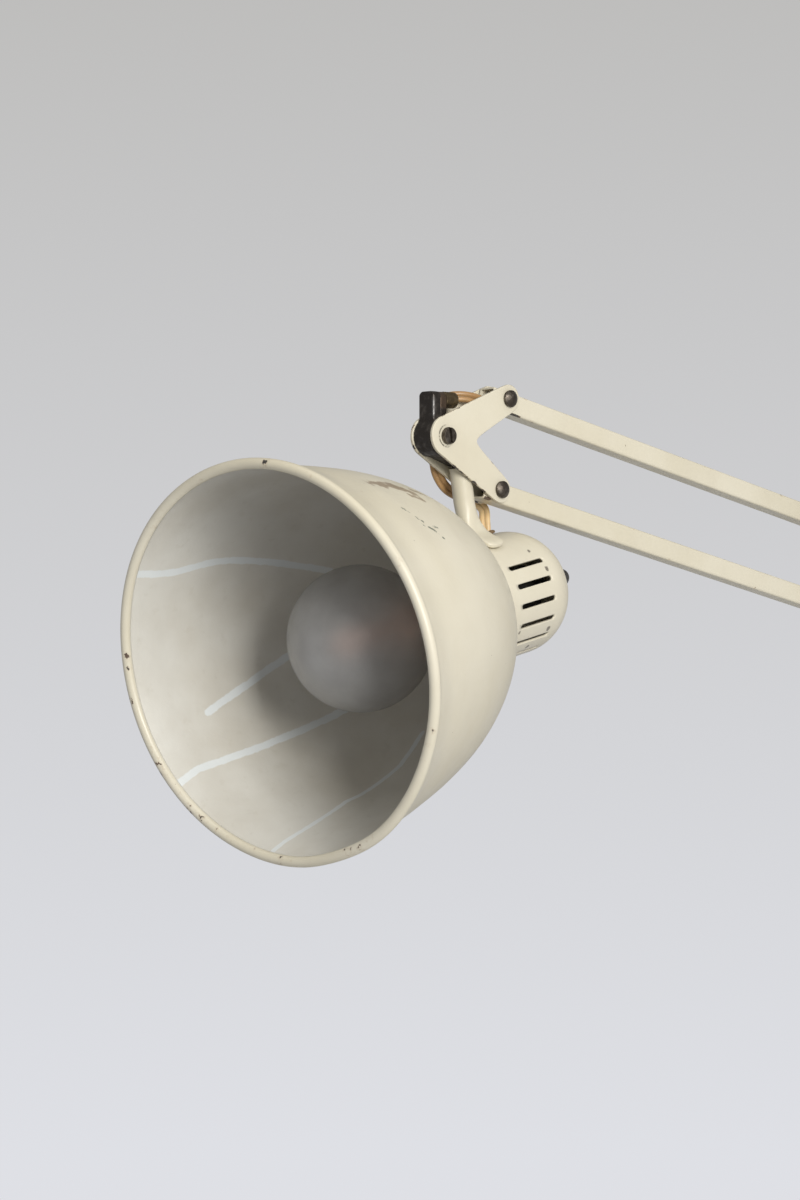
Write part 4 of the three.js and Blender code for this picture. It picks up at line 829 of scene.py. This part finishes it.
screw_profile = np.vstack([eased([[3.6, -9.4], [3.8, -8.2], [3.8, -7.5], [2.5, -7.5]], 0.3),
                           eased([[2.5, -7], [2.5, 12.1], [2.0, 12.5]], 0.3)])
screw_grid = turned_grid(screw_profile, 72, (pivot[0] * MM, 0, pivot[1] * MM), Y_FAR, X_OUT)
top_face = np.linspace(0.15, 3.5, 12)
face_profile = np.column_stack([top_face, -9.75 + 0.3 * (top_face / 3.5) ** 2])
face_grid = turned_grid(face_profile, 72, (pivot[0] * MM, 0, pivot[1] * MM), Y_FAR, X_OUT)
screw_grid = np.concatenate([face_grid, screw_grid])
local = (screw_grid - np.array([pivot[0] * MM, 0, pivot[1] * MM])) / MM
in_slot = (np.abs(local[..., 0] + 0.18 * local[..., 2]) < 0.55) & (local[..., 1] < -9.3)
screw_grid[..., 1] += np.where(in_slot, 1.1 * MM, 0)
fitted(skin("slotted_screw", screw_grid, flat=30), pin_steel, "head_bracket", "dark_steel", "pivot_screw")
six = np.radians(np.arange(0, 360, 3.0))
flats = 4.15 / np.cos((six + np.pi / 6) % (np.pi / 3) - np.pi / 6)
nut_rows = [(2.8, 7.5, 0), (1, 7.5, 1), (1, 7.55, 1), (1, 10.3, 1), (1, 10.6, 0.93), (2.8, 10.6, 0)]
nut_grid = np.stack([np.column_stack([(flats * k if k else r + 0 * six) * np.cos(six), y + 0 * six,
                                      (flats * k if k else r + 0 * six) * np.sin(six)]) for r, y, k in nut_rows])
nut_grid = nut_grid * MM + np.array([pivot[0] * MM, 0, pivot[1] * MM])
pivot_hex_nut = skin("pivot_hex_nut", nut_grid, loop=True, flat=30)
fitted(pivot_hex_nut, pin_steel, "head_bracket", "dark_steel", "pivot_nut")

# ---- Knuckle and clamp screw ----
# A dark cast knuckle turns between the forks. Its split ears are drawn together by a knurled screw that sets
# how stiffly the head tilts, and a short arm below takes the stem.
knuckle_iron = browned("knuckle_iron", (0.050, 0.043, 0.038), (0.135, 0.120, 0.105), 0.42)
knuckle_shader = knuckle_iron.node_tree.nodes["Principled BSDF"]
dark_skin = knuckle_shader.inputs["Base Color"].links[0].from_socket
collar_of = added(knuckle_iron, "Attribute", attribute_name="collar")
# The 'bright' value marks a painted highlight on the knuckle.
painted_highlight_of = added(knuckle_iron, "Attribute", attribute_name="bright")
tinted = blended(knuckle_iron, collar_of.outputs["Fac"], dark_skin, (0.115, 0.080, 0.055))
grey_and_painted_highlight = sum_of(knuckle_iron, between(knuckle_iron, grain(knuckle_iron, 700, 4), 0.3, 0.7, 0.35, 1.0),
               painted_highlight_of.outputs["Fac"])
wired(knuckle_iron, (blended(knuckle_iron, grey_and_painted_highlight, tinted, (0.42, 0.41, 0.40)),
                     knuckle_shader.inputs["Base Color"]))
knuckle_casting = cast_copy("knuckle_casting", "knuckle", 0.0003, 5)
cast_points = np.empty(len(knuckle_casting.data.vertices) * 3, np.float32)
knuckle_casting.data.vertices.foreach_get("co", cast_points)
from_pivot = cast_points.reshape(-1, 3) / MM - [pivot[0], 0, pivot[1]]
collar_share = eased_share((from_pivot[:, 0] + 1.0) / 0.6) * eased_share((from_pivot[:, 2] - 11.5) / 2)
marked(knuckle_casting, "collar", collar_share)
# A light grey painted highlight runs down the near ear's vertical corner.
near_corner = np.exp(-(((from_pivot[:, 0] + 5.8) ** 2 + (from_pivot[:, 1] + 4.5) ** 2) / 0.30))
edge_span = eased_share((from_pivot[:, 2] - 7) / 3) * eased_share((18 - from_pivot[:, 2]) / 3)
marked(knuckle_casting, "bright", near_corner * edge_span)
fitted(knuckle_casting, knuckle_iron, "knuckle", "dark_casting", "knuckle")
old_brass = plating("old_brass", (0.20, 0.15, 0.085), (0.075, 0.058, 0.038), 0.4)
knurl_at = np.concatenate([[-8.5, -0.3, 0.0], np.linspace(0.25, 6.9, 34), [7.2]])
knurl_base = np.concatenate([[1.6, 1.6, 3.3], np.full(34, 3.68), [3.1]])
knurl_cut = np.concatenate([[0, 0, 0], np.full(34, 0.22), [0]])
around = np.linspace(0, 2 * np.pi, 144, endpoint=False)
crossed = np.abs(np.sin(15 * around[None] + 2.4 * knurl_at[:, None])) * np.abs(
    np.sin(15 * around[None] - 2.4 * knurl_at[:, None]))
knurl_radius = knurl_base[:, None] - knurl_cut[:, None] * (1 - crossed)
clamp_mid = np.array([pivot[0] + 3.5, 0, pivot[1] + 16.4])
knurl_grid = (clamp_mid + np.stack([np.broadcast_to(knurl_at[:, None], knurl_radius.shape),
                                    knurl_radius * np.cos(around), knurl_radius * np.sin(around)], -1)) * MM
fitted(skin("knurled_screw", knurl_grid, flat=60), old_brass, "clamp", "knurled_brass", "clamp_screw")

# ---- Stem ----
# A 9.5 mm steel tube drops from the knuckle. Its lower end is flattened, bent round the cap and riveted to it.
LEAN, YAW = math.radians(10.4), math.radians(8.8)
STEM_STATION = 139.5
shade_up = np.array([-math.sin(LEAN), 0, math.cos(LEAN)])
shade_along = np.array([math.cos(YAW) * math.cos(LEAN), math.sin(YAW), math.cos(YAW) * math.sin(LEAN)])
shade_far = np.cross(shade_up, shade_along)
SHADE_DROP = 74.7
shade_mid = np.array([pivot[0] + 12, 0, pivot[1]]) - SHADE_DROP * shade_up


def on_shade(station, radius, degrees):
    """A point at a station along the shade's axis, a radius from the axis, and an angle from the stem round
    towards the near side. The stem stands at STEM_STATION and the rim's plane is at -4."""
    at = np.radians(degrees)
    out = np.cos(at)[..., None] * shade_up - np.sin(at)[..., None] * shade_far
    return (shade_mid + (station - STEM_STATION)[..., None] * shade_along + radius[..., None] * out) * MM


stem_path = flex_line([[0, 61.3], [0, 56], [0, 50], [0, 45], [-0.7, 40], [-2.6, 35.4], [-5.6, 31.6],
                       [-9.0, 29.2], [-12.6, 27.4], [-16.2, 25.3]], 0.5)
gone = np.linspace(0, 1, len(stem_path))
flattening = eased_share((gone - 0.42) / 0.34)
stem_wide = 4.75 + 0.95 * flattening
stem_thick = 4.75 - 3.35 * flattening
closing = np.sqrt(np.clip(1 - ((gone - 0.925) / 0.078).clip(0, 1) ** 2, 0.0, 1))
power = 1 - 0.45 * flattening
ring_at = np.radians(np.arange(0, 360, 7.5) + 3.75)[None]
wide_part = np.sign(np.cos(ring_at)) * np.abs(np.cos(ring_at)) ** power[:, None] * (stem_wide * closing)[:, None]
thick_part = np.sign(np.sin(ring_at)) * np.abs(np.sin(ring_at)) ** power[:, None] * (
    stem_thick * (0.25 + 0.75 * closing))[:, None]
tangent = unit(np.gradient(stem_path, axis=0))
outward = np.column_stack([tangent[:, 1], -tangent[:, 0]])
stem_near = stem_path[:, None, 0] + thick_part * outward[:, 0:1]
stem_high = stem_path[:, None, 1] + thick_part * outward[:, 1:2]
stem_grid = (shade_mid + wide_part[..., None] * shade_along + stem_near[..., None] * shade_far
             + stem_high[..., None] * shade_up) * MM
stem_wear = np.broadcast_to((0.30 * flattening + 0.5 * (gone < 0.02))[:, None], wide_part.shape)
stem_tube = marked(skin("stem_tube", stem_grid, flat=60), "worn", stem_wear)
fitted(stem_tube, head_enamel, "shade", "cream_paint", "stem")
rivet_mid = on_shade(np.array(138.5), np.array(0.0), np.array(26.0))
rivet_up = on_shade(np.array(138.5), np.array(1.0), np.array(26.0)) - rivet_mid
rivet_profile = eased([[1.5, 24.7], [1.5, 30.6], [2.3, 30.9], [2.0, 31.35], [0.3, 31.5]], 0.4)
fitted(skin("foot_rivet", turned_grid(rivet_profile, 28, rivet_mid, rivet_up, shade_along)), head_enamel, "shade",
       "cream_paint", "stem_rivet")

# ---- Bell ----
# Spun steel, 1.2 mm thick, with a rolled lip. It is enamelled cream outside and sprayed a thin grey-white
# inside, with pale bluish streaks painted on as reflections of bright strips. The lip has a small dent, and its
# edge is chipped.
lip_turn = np.radians(np.linspace(-50, 205, 18))
lip = np.column_stack([82.9 + 2.3 * np.cos(lip_turn), -1.7 - 2.3 * np.sin(lip_turn)])[::-1]
bell_outside = flex_line([[84.1, 1.4], [82.5, 6], [80.8, 12], [77.5, 30], [73.2, 50], [66.8, 70], [56.8, 90],
                          [42.2, 110],
                          [28.7, 124], [28.7, 125.7]], 2.0)
bell_slope = unit(np.gradient(bell_outside, axis=0))
bell_inside = (bell_outside + 1.2 * np.column_stack([-bell_slope[:, 1], bell_slope[:, 0]]))[::-1]
bell_inside = bell_inside[bell_inside[:, 1] > 0.4]
bell_profile = np.vstack([bell_inside, lip, bell_outside])
bell_turn = np.arange(0, 360, 1.0)
bell_r = np.repeat(bell_profile[:, :1], 360, 1)
bell_t = np.repeat(bell_profile[:, 1:], 360, 1)
dent = np.exp(-(((bell_turn - 165) / 13) ** 2)) * np.clip(0.8 - bell_t / 16, 0, 1) ** 1.5
wobble = 0.35 * np.sin(np.radians(2 * bell_turn + 40)) + 0.15 * np.sin(np.radians(5 * bell_turn))
bell_r = bell_r - 1.1 * dent + wobble * np.clip(1 - bell_t / 60, 0, 1) - 0.3
stake = np.abs((bell_turn - 76 + 8) % 16 - 8) * np.pi / 180 * 28.7
staked = np.exp(-((stake / 0.8) ** 2) - ((bell_t - 124.8) / 1.1) ** 2) * (bell_r > 28)
bell_r = bell_r - 0.5 * staked
bell_grid = on_shade(bell_t, bell_r, np.broadcast_to(bell_turn, bell_r.shape))
is_inside = np.zeros(bell_r.shape)
is_inside[: len(bell_inside)] = 1
is_inside[len(bell_inside): len(bell_inside) + 2] = 0.6

# Lines of the pale streaks inside the bell, which are painted reflections: stations, angles and half widths.
REFLECTION_LINES = [([[-4, -61.2], [13, -61.5], [23, -61.4], [38, -59.3], [50, -59], [69, -60.1], [95, -62.5]], 2.0),
        ([[31, -110.6], [56, -105.7], [80, -99.5]], 2.0),
        ([[-4, -128.6], [4, -127.8], [12, -126.6], [31, -127.6], [62, -129.4], [95, -132.6]], 2.0),
        ([[3, -166.5], [30, -167], [50, -167.2], [56, -169], [79, -173], [97, -172]], 1.3),
        ([[20, 20], [60, 24], [90, 22]], 1.8), ([[30, 78], [62, 75], [88, 79]], 1.8),
        ([[-4, 140], [40, 137], [85, 141]], 1.4)]


def nearness(stations, angles, radius, path, half_width):
    """1 on a line drawn over the bell, 0 a half width beside it, and falling on as evenly further out. The line
    is given as stations and angles; the distance is the arc from it, put together with the distance past its
    ends."""
    path = np.asarray(path, float)
    middle = np.interp(stations, path[:, 0], path[:, 1])
    beside = np.radians((angles - middle + 180) % 360 - 180) * radius
    beyond = np.maximum(0, np.maximum(path[0, 0] - stations, stations - path[-1, 0]))
    return np.clip(1 - np.hypot(beside, beyond) / half_width, -1.5, 1)


angles = np.broadcast_to(bell_turn, bell_r.shape)
painted_reflections = np.max([nearness(bell_t, angles, bell_r, path, wide) for path, wide in REFLECTION_LINES], axis=0)
painted_reflections = np.where(is_inside > 0.5, painted_reflections, -1.5)
SCUFFS = [([[33, 27.5], [39.4, 28.6], [44, 29]], 3.2), ([[47, 28.5], [52, 30], [55, 32]], 3.4),
          ([[50, 34.5], [56, 36.8]], 2.0), ([[60, 29], [68, 30.5]], 1.6)]
SCRATCHES = [([[30, 42.0], [32.6, 44.0], [34.6, 47]], 1.0), ([[34.4, 46.5], [36.7, 48.5], [38.6, 51.5]], 1.1),
             ([[33.5, 49], [35.5, 50.5]], 0.8), ([[39.4, 51.5], [40.9, 53.0], [42.6, 55.5]], 1.0),
             ([[41, 50], [43.4, 51.2]], 0.8)]
scuffs = np.max([nearness(bell_t, angles, bell_r, path, wide) for path, wide in SCUFFS], axis=0)
scratches = np.max([nearness(bell_t, angles, bell_r, path, wide) for path, wide in SCRATCHES], axis=0)
scuffs, scratches = np.where(is_inside > 0, -1.5, scuffs), np.where(is_inside > 0, -1.5, scratches)
lip_top = np.exp(-(((bell_t + 3.6) / 1.3) ** 2)) * (0.72 + 0.28 * np.sin(np.radians(bell_turn * 3 + 60)))
bell_wear = lip_top * np.clip(0.62 + 0.6 * np.exp(-((((bell_turn + 180) % 360 - 180) + 150) / 38) ** 2)
                              + 0.5 * np.exp(-(((bell_turn - 172) / 26) ** 2)), 0, 1)
bell_wear = np.clip(bell_wear + 0.5 * (bell_t > 125), 0, 1)

bell_enamel = enamel("bell_enamel", 7.3, 0.9)
bell_shader = bell_enamel.node_tree.nodes["Principled BSDF"]
old_colour = bell_shader.inputs["Base Color"].links[0].from_socket
inside_of = added(bell_enamel, "Attribute", attribute_name="inside")
painted_reflection_of = added(bell_enamel, "Attribute", attribute_name="painted_reflection")
scuff_of = added(bell_enamel, "Attribute", attribute_name="scuff")
scratch_of = added(bell_enamel, "Attribute", attribute_name="scratch")
inside_colour = blended(bell_enamel, between(bell_enamel, grain(bell_enamel, 26, 4, shift=2.2), 0.35, 0.66),
                  (0.62, 0.605, 0.555), (0.545, 0.52, 0.46))
inside_colour = blended(bell_enamel, between(bell_enamel, grain(bell_enamel, 160, 5, shift=0.7), 0.60, 0.78, 0, 0.25),
                  inside_colour, (0.40, 0.36, 0.28))
# The pale bluish streaks inside are painted reflections.
frayed_reflections = sum_of(bell_enamel, between(bell_enamel, grain(bell_enamel, 300, 4), 0.2, 0.8, -0.22, 0.22),
                painted_reflection_of.outputs["Fac"], "ADD")
inside_colour = blended(bell_enamel, between(bell_enamel, frayed_reflections, 0.02, 0.30, 0, 0.8), inside_colour, (0.69, 0.73, 0.745))
coloured = blended(bell_enamel, inside_of.outputs["Fac"], old_colour, inside_colour)
rub_grain = grain(bell_enamel, 260, 5, stretch=(1, 1, 0.4))
rubbing = sum_of(bell_enamel, between(bell_enamel, rub_grain, 0.3, 0.7, -0.7, 0.6),
                 scuff_of.outputs["Fac"], "ADD")
coloured = blended(bell_enamel, between(bell_enamel, rubbing, -0.1, 0.4, 0, 0.8), coloured,
                   (0.25, 0.175, 0.105))
scoring = sum_of(bell_enamel, between(bell_enamel, grain(bell_enamel, 600, 3), 0.3, 0.7, -0.5, 0.5),
                 scratch_of.outputs["Fac"], "ADD")
coloured = blended(bell_enamel, between(bell_enamel, scoring, 0.0, 0.35, 0, 0.85), coloured,
                   (0.09, 0.11, 0.075))
stake_of = added(bell_enamel, "Attribute", attribute_name="stake")
coloured = blended(bell_enamel, between(bell_enamel, stake_of.outputs["Fac"], 0.35, 0.6, 0, 0.85), coloured,
                   (0.13, 0.11, 0.085))
wired(bell_enamel, (coloured, bell_shader.inputs["Base Color"]))
bell = skin("bell", bell_grid, loop=True, flat=40)
for word, values in (("worn", bell_wear), ("inside", is_inside), ("painted_reflection", painted_reflections), ("scuff", scuffs),
                     ("scratch", scratches), ("stake", staked)):
    marked(bell, word, values)
fitted(bell, bell_enamel, "shade", "cream_paint", "shade_bell")

# ---- Cap ----
# A drawn steel cup with a domed end, pushed into the bell's neck and staked round it. Two rows of slots let the
# heat out, and a rubber grommet guards the hole for the flex.
slot_middles = np.array([side * (56.8 + 18.6 * k) for side in (-1, 1) for k in range(7)]) % 360
slot_half = math.degrees(1.2 / 28.1)
slot_start, slot_end = 134.7, 160.7
across_slot = np.array([-1.4, -1.0, -0.35, 0.35, 1.0, 1.4]) * slot_half
plain = np.arange(0, 360, 4.0)
plain_from_slot = np.min(np.abs((plain[:, None] - slot_middles[None] + 180) % 360 - 180), 1)
plain = plain[plain_from_slot > 1.5 * slot_half + 0.8]
cap_turn = np.sort(np.concatenate([plain, (slot_middles[:, None] + across_slot).ravel() % 360]))
dome_turn = np.radians(np.linspace(0, 80, 22))
end_rows = np.array([0, 0.15, 0.5, 0.9, 1.2])
slot_rows = np.concatenate([slot_start + end_rows, np.linspace(138, 158, 11), slot_end - end_rows[::-1]])
side_t = np.concatenate([[126.45, 127.2, 129, 131, 133], slot_rows, [162, 163.4]])
cap_profile = np.vstack([[[27.2, 117.3], [27.2, 121], [27.2, 126.1], [27.5, 126.35], [27.9, 126.4]],
                         np.column_stack([np.full(len(side_t), 28.1), side_t]),
                         np.column_stack([28.1 * np.cos(dome_turn), 164 + 24 * np.sin(dome_turn)])])
cap_r, cap_t = (np.repeat(cap_profile[:, k: k + 1], len(cap_turn), 1) for k in (0, 1))
from_slot = (cap_turn[:, None] - slot_middles[None] + 180) % 360 - 180
nearest = from_slot[np.arange(len(cap_turn)), np.abs(from_slot).argmin(1)]
from_end = np.minimum(cap_t - slot_start, slot_end - cap_t) / 1.2
closing_in = np.where((from_end >= -0.01) & (from_end < 1),
                      np.sqrt(np.clip(1 - (1 - from_end.clip(0, 1)) ** 2, 0.02, 1)), 1)
closing_in = np.where(np.abs(nearest)[None] < 1.2 * slot_half, closing_in, 1)
cap_angle = cap_turn[None] + nearest[None] * (closing_in - 1)
cap_grid = on_shade(cap_t, cap_r, cap_angle)
row_open = (cap_profile[:-1, 1] > slot_start - 0.01) & (cap_profile[1:, 1] < slot_end + 0.01)
gap_after = np.abs(np.roll(nearest, -1) + nearest) < 1.25 * slot_half * 2
both_in = (np.abs(nearest) < 1.1 * slot_half) & (np.abs(np.roll(nearest, -1)) < 1.1 * slot_half)
inside_slot = both_in & gap_after
open_faces = row_open[:, None] & inside_slot[None]
cap_mid_t = (cap_t[:-1] + cap_t[1:]) / 2
cap_mid_a = (cap_turn + 2 + 8 + 180) % 360 - 180
grommet_far = np.hypot(cap_mid_t - 157, np.radians(cap_mid_a)[None] * 28.1)
open_faces = open_faces | (grommet_far < 2.6)
cap_wear = np.exp(-(((cap_t - 126.4) / 0.7) ** 2)) * 0.8 + 0.3 * (
    (np.abs(nearest)[None] < 1.5 * slot_half) & (cap_t > slot_start - 0.5) & (cap_t < slot_end + 0.5))
cap = marked(skin("cap", cap_grid, poles=False, left_out=open_faces, flat=40), "worn", cap_wear)
cap_wall = cap.modifiers.new("wall", "SOLIDIFY")
cap_wall.thickness, cap_wall.offset, cap_wall.use_even_offset = 1.2 * MM, -1, True
cap_enamel = enamel("cap_enamel", 9.1, 0.9)
cap_shader = cap_enamel.node_tree.nodes["Principled BSDF"]
cap_colour = cap_shader.inputs["Base Color"].links[0].from_socket
cap_place = added(cap_enamel, "TexCoord")
CAP_SPOTS = ((156.3, 44.5, 0.95), (159.7, 66.6, 1.25), (134.5, 118, 0.9), (158.5, 124, 1.5), (149, 142, 1.3))
for station, angle, size in CAP_SPOTS:
    spot = added(cap_enamel, "VectorMath", operation="DISTANCE")
    spot.inputs[1].default_value = tuple(on_shade(np.array(station), np.array(28.1), np.array(angle)))
    wired(cap_enamel, (cap_place.outputs["Object"], spot.inputs[0]))
    ragged = sum_of(cap_enamel, spot.outputs["Value"],
                    between(cap_enamel, grain(cap_enamel, 900, 3), 0.2, 0.8, -0.0005, 0.0005), "ADD")
    inside_spot = between(cap_enamel, ragged, size * 0.75 * MM, size * 1.05 * MM, 0.85, 0)
    cap_colour = blended(cap_enamel, inside_spot, cap_colour, (0.12, 0.10, 0.08))
wired(cap_enamel, (cap_colour, cap_shader.inputs["Base Color"]))
fitted(cap, cap_enamel, "shade", "cream_paint", "shade_cap")
rubber = moulding("aged_rubber", (0.125, 0.080, 0.040), 0.55)
grommet_mid = on_shade(np.array(157.0), np.array(0.0), np.array(-8.0))
grommet_up = on_shade(np.array(157.0), np.array(1.0), np.array(-8.0)) - grommet_mid
grommet_profile = eased([[2.9, 25.8], [3.7, 25.8], [3.7, 28.45], [4.8, 28.45], [4.7, 29.6], [3.6, 30], [2.9, 30]],
                        0.5, closed=True)
grommet_grid = turned_grid(grommet_profile, 36, grommet_mid, grommet_up, shade_along)
fitted(skin("grommet", grommet_grid, loop=True), rubber, "shade", "bakelite", "flex_grommet")

# ---- Bulb and lampholder ----
# A round frosted bulb in a brass screw cap. Its glass mount and wires show faintly through the frosting, and the
# mount is given a faint warm painted glow. The holder is a black moulding fixed inside the cap.
frosting = finish_of("frosted_glass", (0.60, 0.605, 0.60), 0.42, Transmission_Weight=0.55, IOR=1.46,
                     Coat_Weight=0.25, Coat_Roughness=0.12)
frost_shader = frosting.node_tree.nodes["Principled BSDF"]
wired(frosting, (blended(frosting, between(frosting, grain(frosting, 70, 4), 0.35, 0.7), (0.62, 0.62, 0.605),
                         (0.52, 0.515, 0.50)), frost_shader.inputs["Base Color"]),
      (between(frosting, grain(frosting, 200, 5), 0.3, 0.7, 0.36, 0.52), frost_shader.inputs["Roughness"]))
globe_edge = math.asin(14.5 / 31.4)
globe_turn = np.linspace(np.pi - 0.03, globe_edge + 0.10, 40)
globe = np.column_stack([31.4 * np.sin(globe_turn), 55.4 + 31.4 * np.cos(globe_turn)])
glass_neck = flex_line([[15.6, 84.8], [14.6, 88.6], [14.3, 94], [13.4, 100], [12.8, 103.6]], 1.0)
glass_outside = np.vstack([globe, glass_neck])
glass_slope = unit(np.gradient(glass_outside, axis=0))
glass_inside = glass_outside + 0.8 * np.column_stack([-glass_slope[:, 1], glass_slope[:, 0]])
glass_inside[:, 0] = np.maximum(glass_inside[:, 0], 0.3)
around_bulb = np.arange(0, 360, 3.75)


def turned_on_shade(profile, angles=around_bulb):
    """A profile of (radius, station) turned about the shade's axis."""
    profile = np.asarray(profile, float)
    wide, along = (np.repeat(profile[:, k: k + 1], len(angles), 1) for k in (0, 1))
    return on_shade(along, wide, np.broadcast_to(angles, wide.shape))


glass_rows = np.vstack([glass_outside, glass_inside[::-1]])
fitted(skin("bulb", turned_on_shade(glass_rows)), frosting, "shade", "frosted_glass", "bulb_glass")
mount_profile = eased([[7.5, 101], [7.0, 92], [3.2, 84], [2.2, 62], [4.2, 55], [6.4, 48], [5.2, 41], [0.4, 38]],
                      2.0)
# The mount's faint warm emission is a painted glow, not a lamp.
painted_glow_mount = finish_of("mount_glass_painted_glow", (0.62, 0.36, 0.25), 0.3, Emission_Color=(1.0, 0.45, 0.27, 1),
                  Emission_Strength=0.45)
roughened(painted_glow_mount, grain(painted_glow_mount, 400, 3), 0.3, 0.0002)
mount_grid = turned_on_shade(mount_profile, np.arange(0, 360, 12.0))
fitted(skin("glass_mount", mount_grid), painted_glow_mount, "shade", "frosted_glass")

brass_cap = plating("bulb_cap_brass", (0.56, 0.45, 0.24), (0.30, 0.22, 0.11), 0.3)
thread_t = np.linspace(104, 125, 85)
thread_angles = np.arange(0, 360, 6.0)
thread_r = 12.9 + 0.35 * np.sin(2 * np.pi * (thread_t[:, None] / 3.2 - thread_angles[None] / 360))
thread_grid = on_shade(np.repeat(thread_t[:, None], 60, 1), thread_r,
                       np.broadcast_to(thread_angles, thread_r.shape))
closing_rows = turned_on_shade([[11, 126], [8, 128], [4, 130.8], [0.5, 131]], thread_angles)
start_row = turned_on_shade([[12.2, 104], [12.6, 104]], thread_angles)
fitted(skin("bulb_screw_thread", np.concatenate([start_row, thread_grid, closing_rows])), brass_cap, "shade",
       "plated_brass", "bulb_screw_cap")
holder_profile = eased([[13.8, 108], [17.5, 108], [19.5, 110], [19.5, 142], [11, 148], [2, 148], [2, 131.5],
                        [13.8, 131.5]], 1.2, closed=True)
fitted(skin("holder_shell", turned_on_shade(holder_profile), loop=True), moulding("holder_moulding",
       (0.024, 0.020, 0.018), 0.35), "shade", "bakelite", "lampholder")

# ---- Switch and knob ----
# A rotary switch behind the holder. Its neck comes out through the cap and carries a fluted black knob.
switch_profile = eased([[0.5, 148.4], [11, 148.4], [11, 176], [4.6, 177], [4.6, 192], [0.5, 192]], 0.8)
switch_barrel = skin("switch_barrel", turned_on_shade(switch_profile))
fitted(switch_barrel, black_moulding, "shade", "bakelite", "switch_body")
knob_t = np.array([192.3, 192.4, 192.8, 193.4, 194.5, 197, 200, 203, 205.6, 206.7, 207.3, 207.7, 207.8])
knob_r = np.array([3.4, 3.7, 4.05, 4.25, 4.3, 4.3, 4.3, 4.3, 4.25, 4.0, 3.6, 3.0, 2.2])
knob_angles = np.arange(0, 360, 5.0)
flute = 0.32 * (0.5 + 0.5 * np.cos(np.radians(12 * knob_angles)))[None] * (
    (knob_t > 194) & (knob_t < 206.8))[:, None]
knob_grid = on_shade(np.repeat(knob_t[:, None], 72, 1), knob_r[:, None] - flute,
                     np.broadcast_to(knob_angles, (13, 72)))
fitted(skin("knob", knob_grid, flat=45), black_moulding, "knob", "bakelite", "switch_knob")

# ---- Held flex ----
# The flex leaves the cap, wraps loosely round the knuckle and goes into the top bar. It shows again at the elbow
# and between the lower bar and the post, and crosses the base in its hollow.


def flex_cuts(points, cuts):
    """The whole line in metres, and the places along it nearest to the cut points."""
    line = flex_line(np.asarray(points, float) * MM, 0.0008)
    marks = [int(np.linalg.norm(line - np.asarray(points[k]) * MM, axis=1).argmin()) for k in cuts]
    return line, marks


def held_flex(points, cuts, names, nodes, bodies, wide_way, finishes):
    """Stretches of one line between cuts, each a flex skin with its own finish, baked in place. The bodies given
    for each stretch are not used.
    """
    line, marks = flex_cuts(points, cuts)
    tangent = unit(np.gradient(line, axis=0))
    wide = unit(np.cross(tangent, wide_way))
    edges = [0, *marks, len(line) - 1]
    for k, (name, node, pair) in enumerate(zip(names, nodes, bodies, strict=True)):
        part = slice(edges[k], edges[k + 1] + 1)
        piece = fitted(flex_skin(name, line[part], wide[part]), finishes[k], None, "amber_flex", node)
        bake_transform(piece)


at_head = np.array([pivot[0], 0, pivot[1]])
# The stretch from the cap takes the amber with painted light; the loop round the knuckle and into the bar takes the
# amber with painted shade.
held_flex(at_head + np.array([[38.5, 5.4, -51], [37.3, 6.5, -43.4], [37.6, 7.6, -37], [38.8, 9.8, -30.8],
                              [36, 12.6, -27.4], [30.6, 12.9, -25.4], [23.6, 11.8, -24.6], [15.2, 10.3, -21.4],
                              [10.4, 10.3, -15.6], [8.6, 10.3, -8], [8.8, 10.3, 1], [9.2, 10.3, 9],
                              [10.2, 8.8, 14.6], [12.6, 6.2, 17.8], [16.4, 3.4, 18.6], [21, 1.3, 18.4],
                              [26, 0.2, 17.4], [30.4, 0, 16.2]]), [6, 12],
          ["flex_from_cap", "flex_by_knuckle", "flex_into_bar"],
          ["flex_cap_to_knuckle", "flex_round_knuckle", "flex_to_upper_bar"],
          [("shade", "knuckle"), ("knuckle", "head_bracket"), ("head_bracket", "upper_top")], (0.678, 0.735, 0),
          (amber_painted_lit, amber_painted_shade, amber_painted_shade))
at_elbow = np.array([elbow_top[0], 0, elbow_top[1]])
held_flex(at_elbow + np.array([[6.6, 0, -4.6], [14, 0, -7.6], [21, 0, -13.4], [23.6, 0, -22], [21.6, 0, -31.5],
                               [14, 0, -42], [3, 0, -52.4], [-5.6, 0, -61.6]]), [3],
          ["flex_elbow_upper", "flex_elbow_lower"], ["flex_at_elbow_upper", "flex_at_elbow_lower"],
          [("upper_top", "elbow"), ("elbow", "lower_front")], (0.02, 1, 0), (amber, amber))
held_flex(np.array([[-19.4, 0, 95.4], [-24.5, 0, 86], [-29.5, 0, 76], [-29.5, 0, 66.5], [-24, 0, 60.6],
                    [-15.4, 0, 59], [-7, 0, 59.8], [-0.9, 0, 57], [0.4, 0, 50], [0, 0, 38], [0, 0, 20],
                    [2.2, 0, 11], [10, 0, 6.6], [24, 0, 6], [60, 0, 6], [105.7, 0, 6]]), [5],
          ["flex_bar_to_post", "flex_under_post"], ["flex_at_base", "flex_in_base"],
          [("lower_front", "turntable"), ("turntable", "base")], (0.02, 1, 0), (amber, amber))

# ---- Table top ----
# A plain pale floor under the base.
table_grid = turned_grid([[1, -0.4], [700, -0.4], [699, -8], [1, -8]], 96, (0.05, 0, 0), Z_UP, X_OUT)
table = skin("table_top", table_grid)
pale = finish_of("pale_floor", (0.72, 0.72, 0.71), 0.75)
pale_shader = pale.node_tree.nodes["Principled BSDF"]
pale_tones = blended(pale, between(pale, grain(pale, 3, 3), 0.3, 0.7), (0.70, 0.70, 0.69), (0.74, 0.74, 0.73))
wired(pale, (pale_tones, pale_shader.inputs["Base Color"]))
table.data.materials.append(pale)
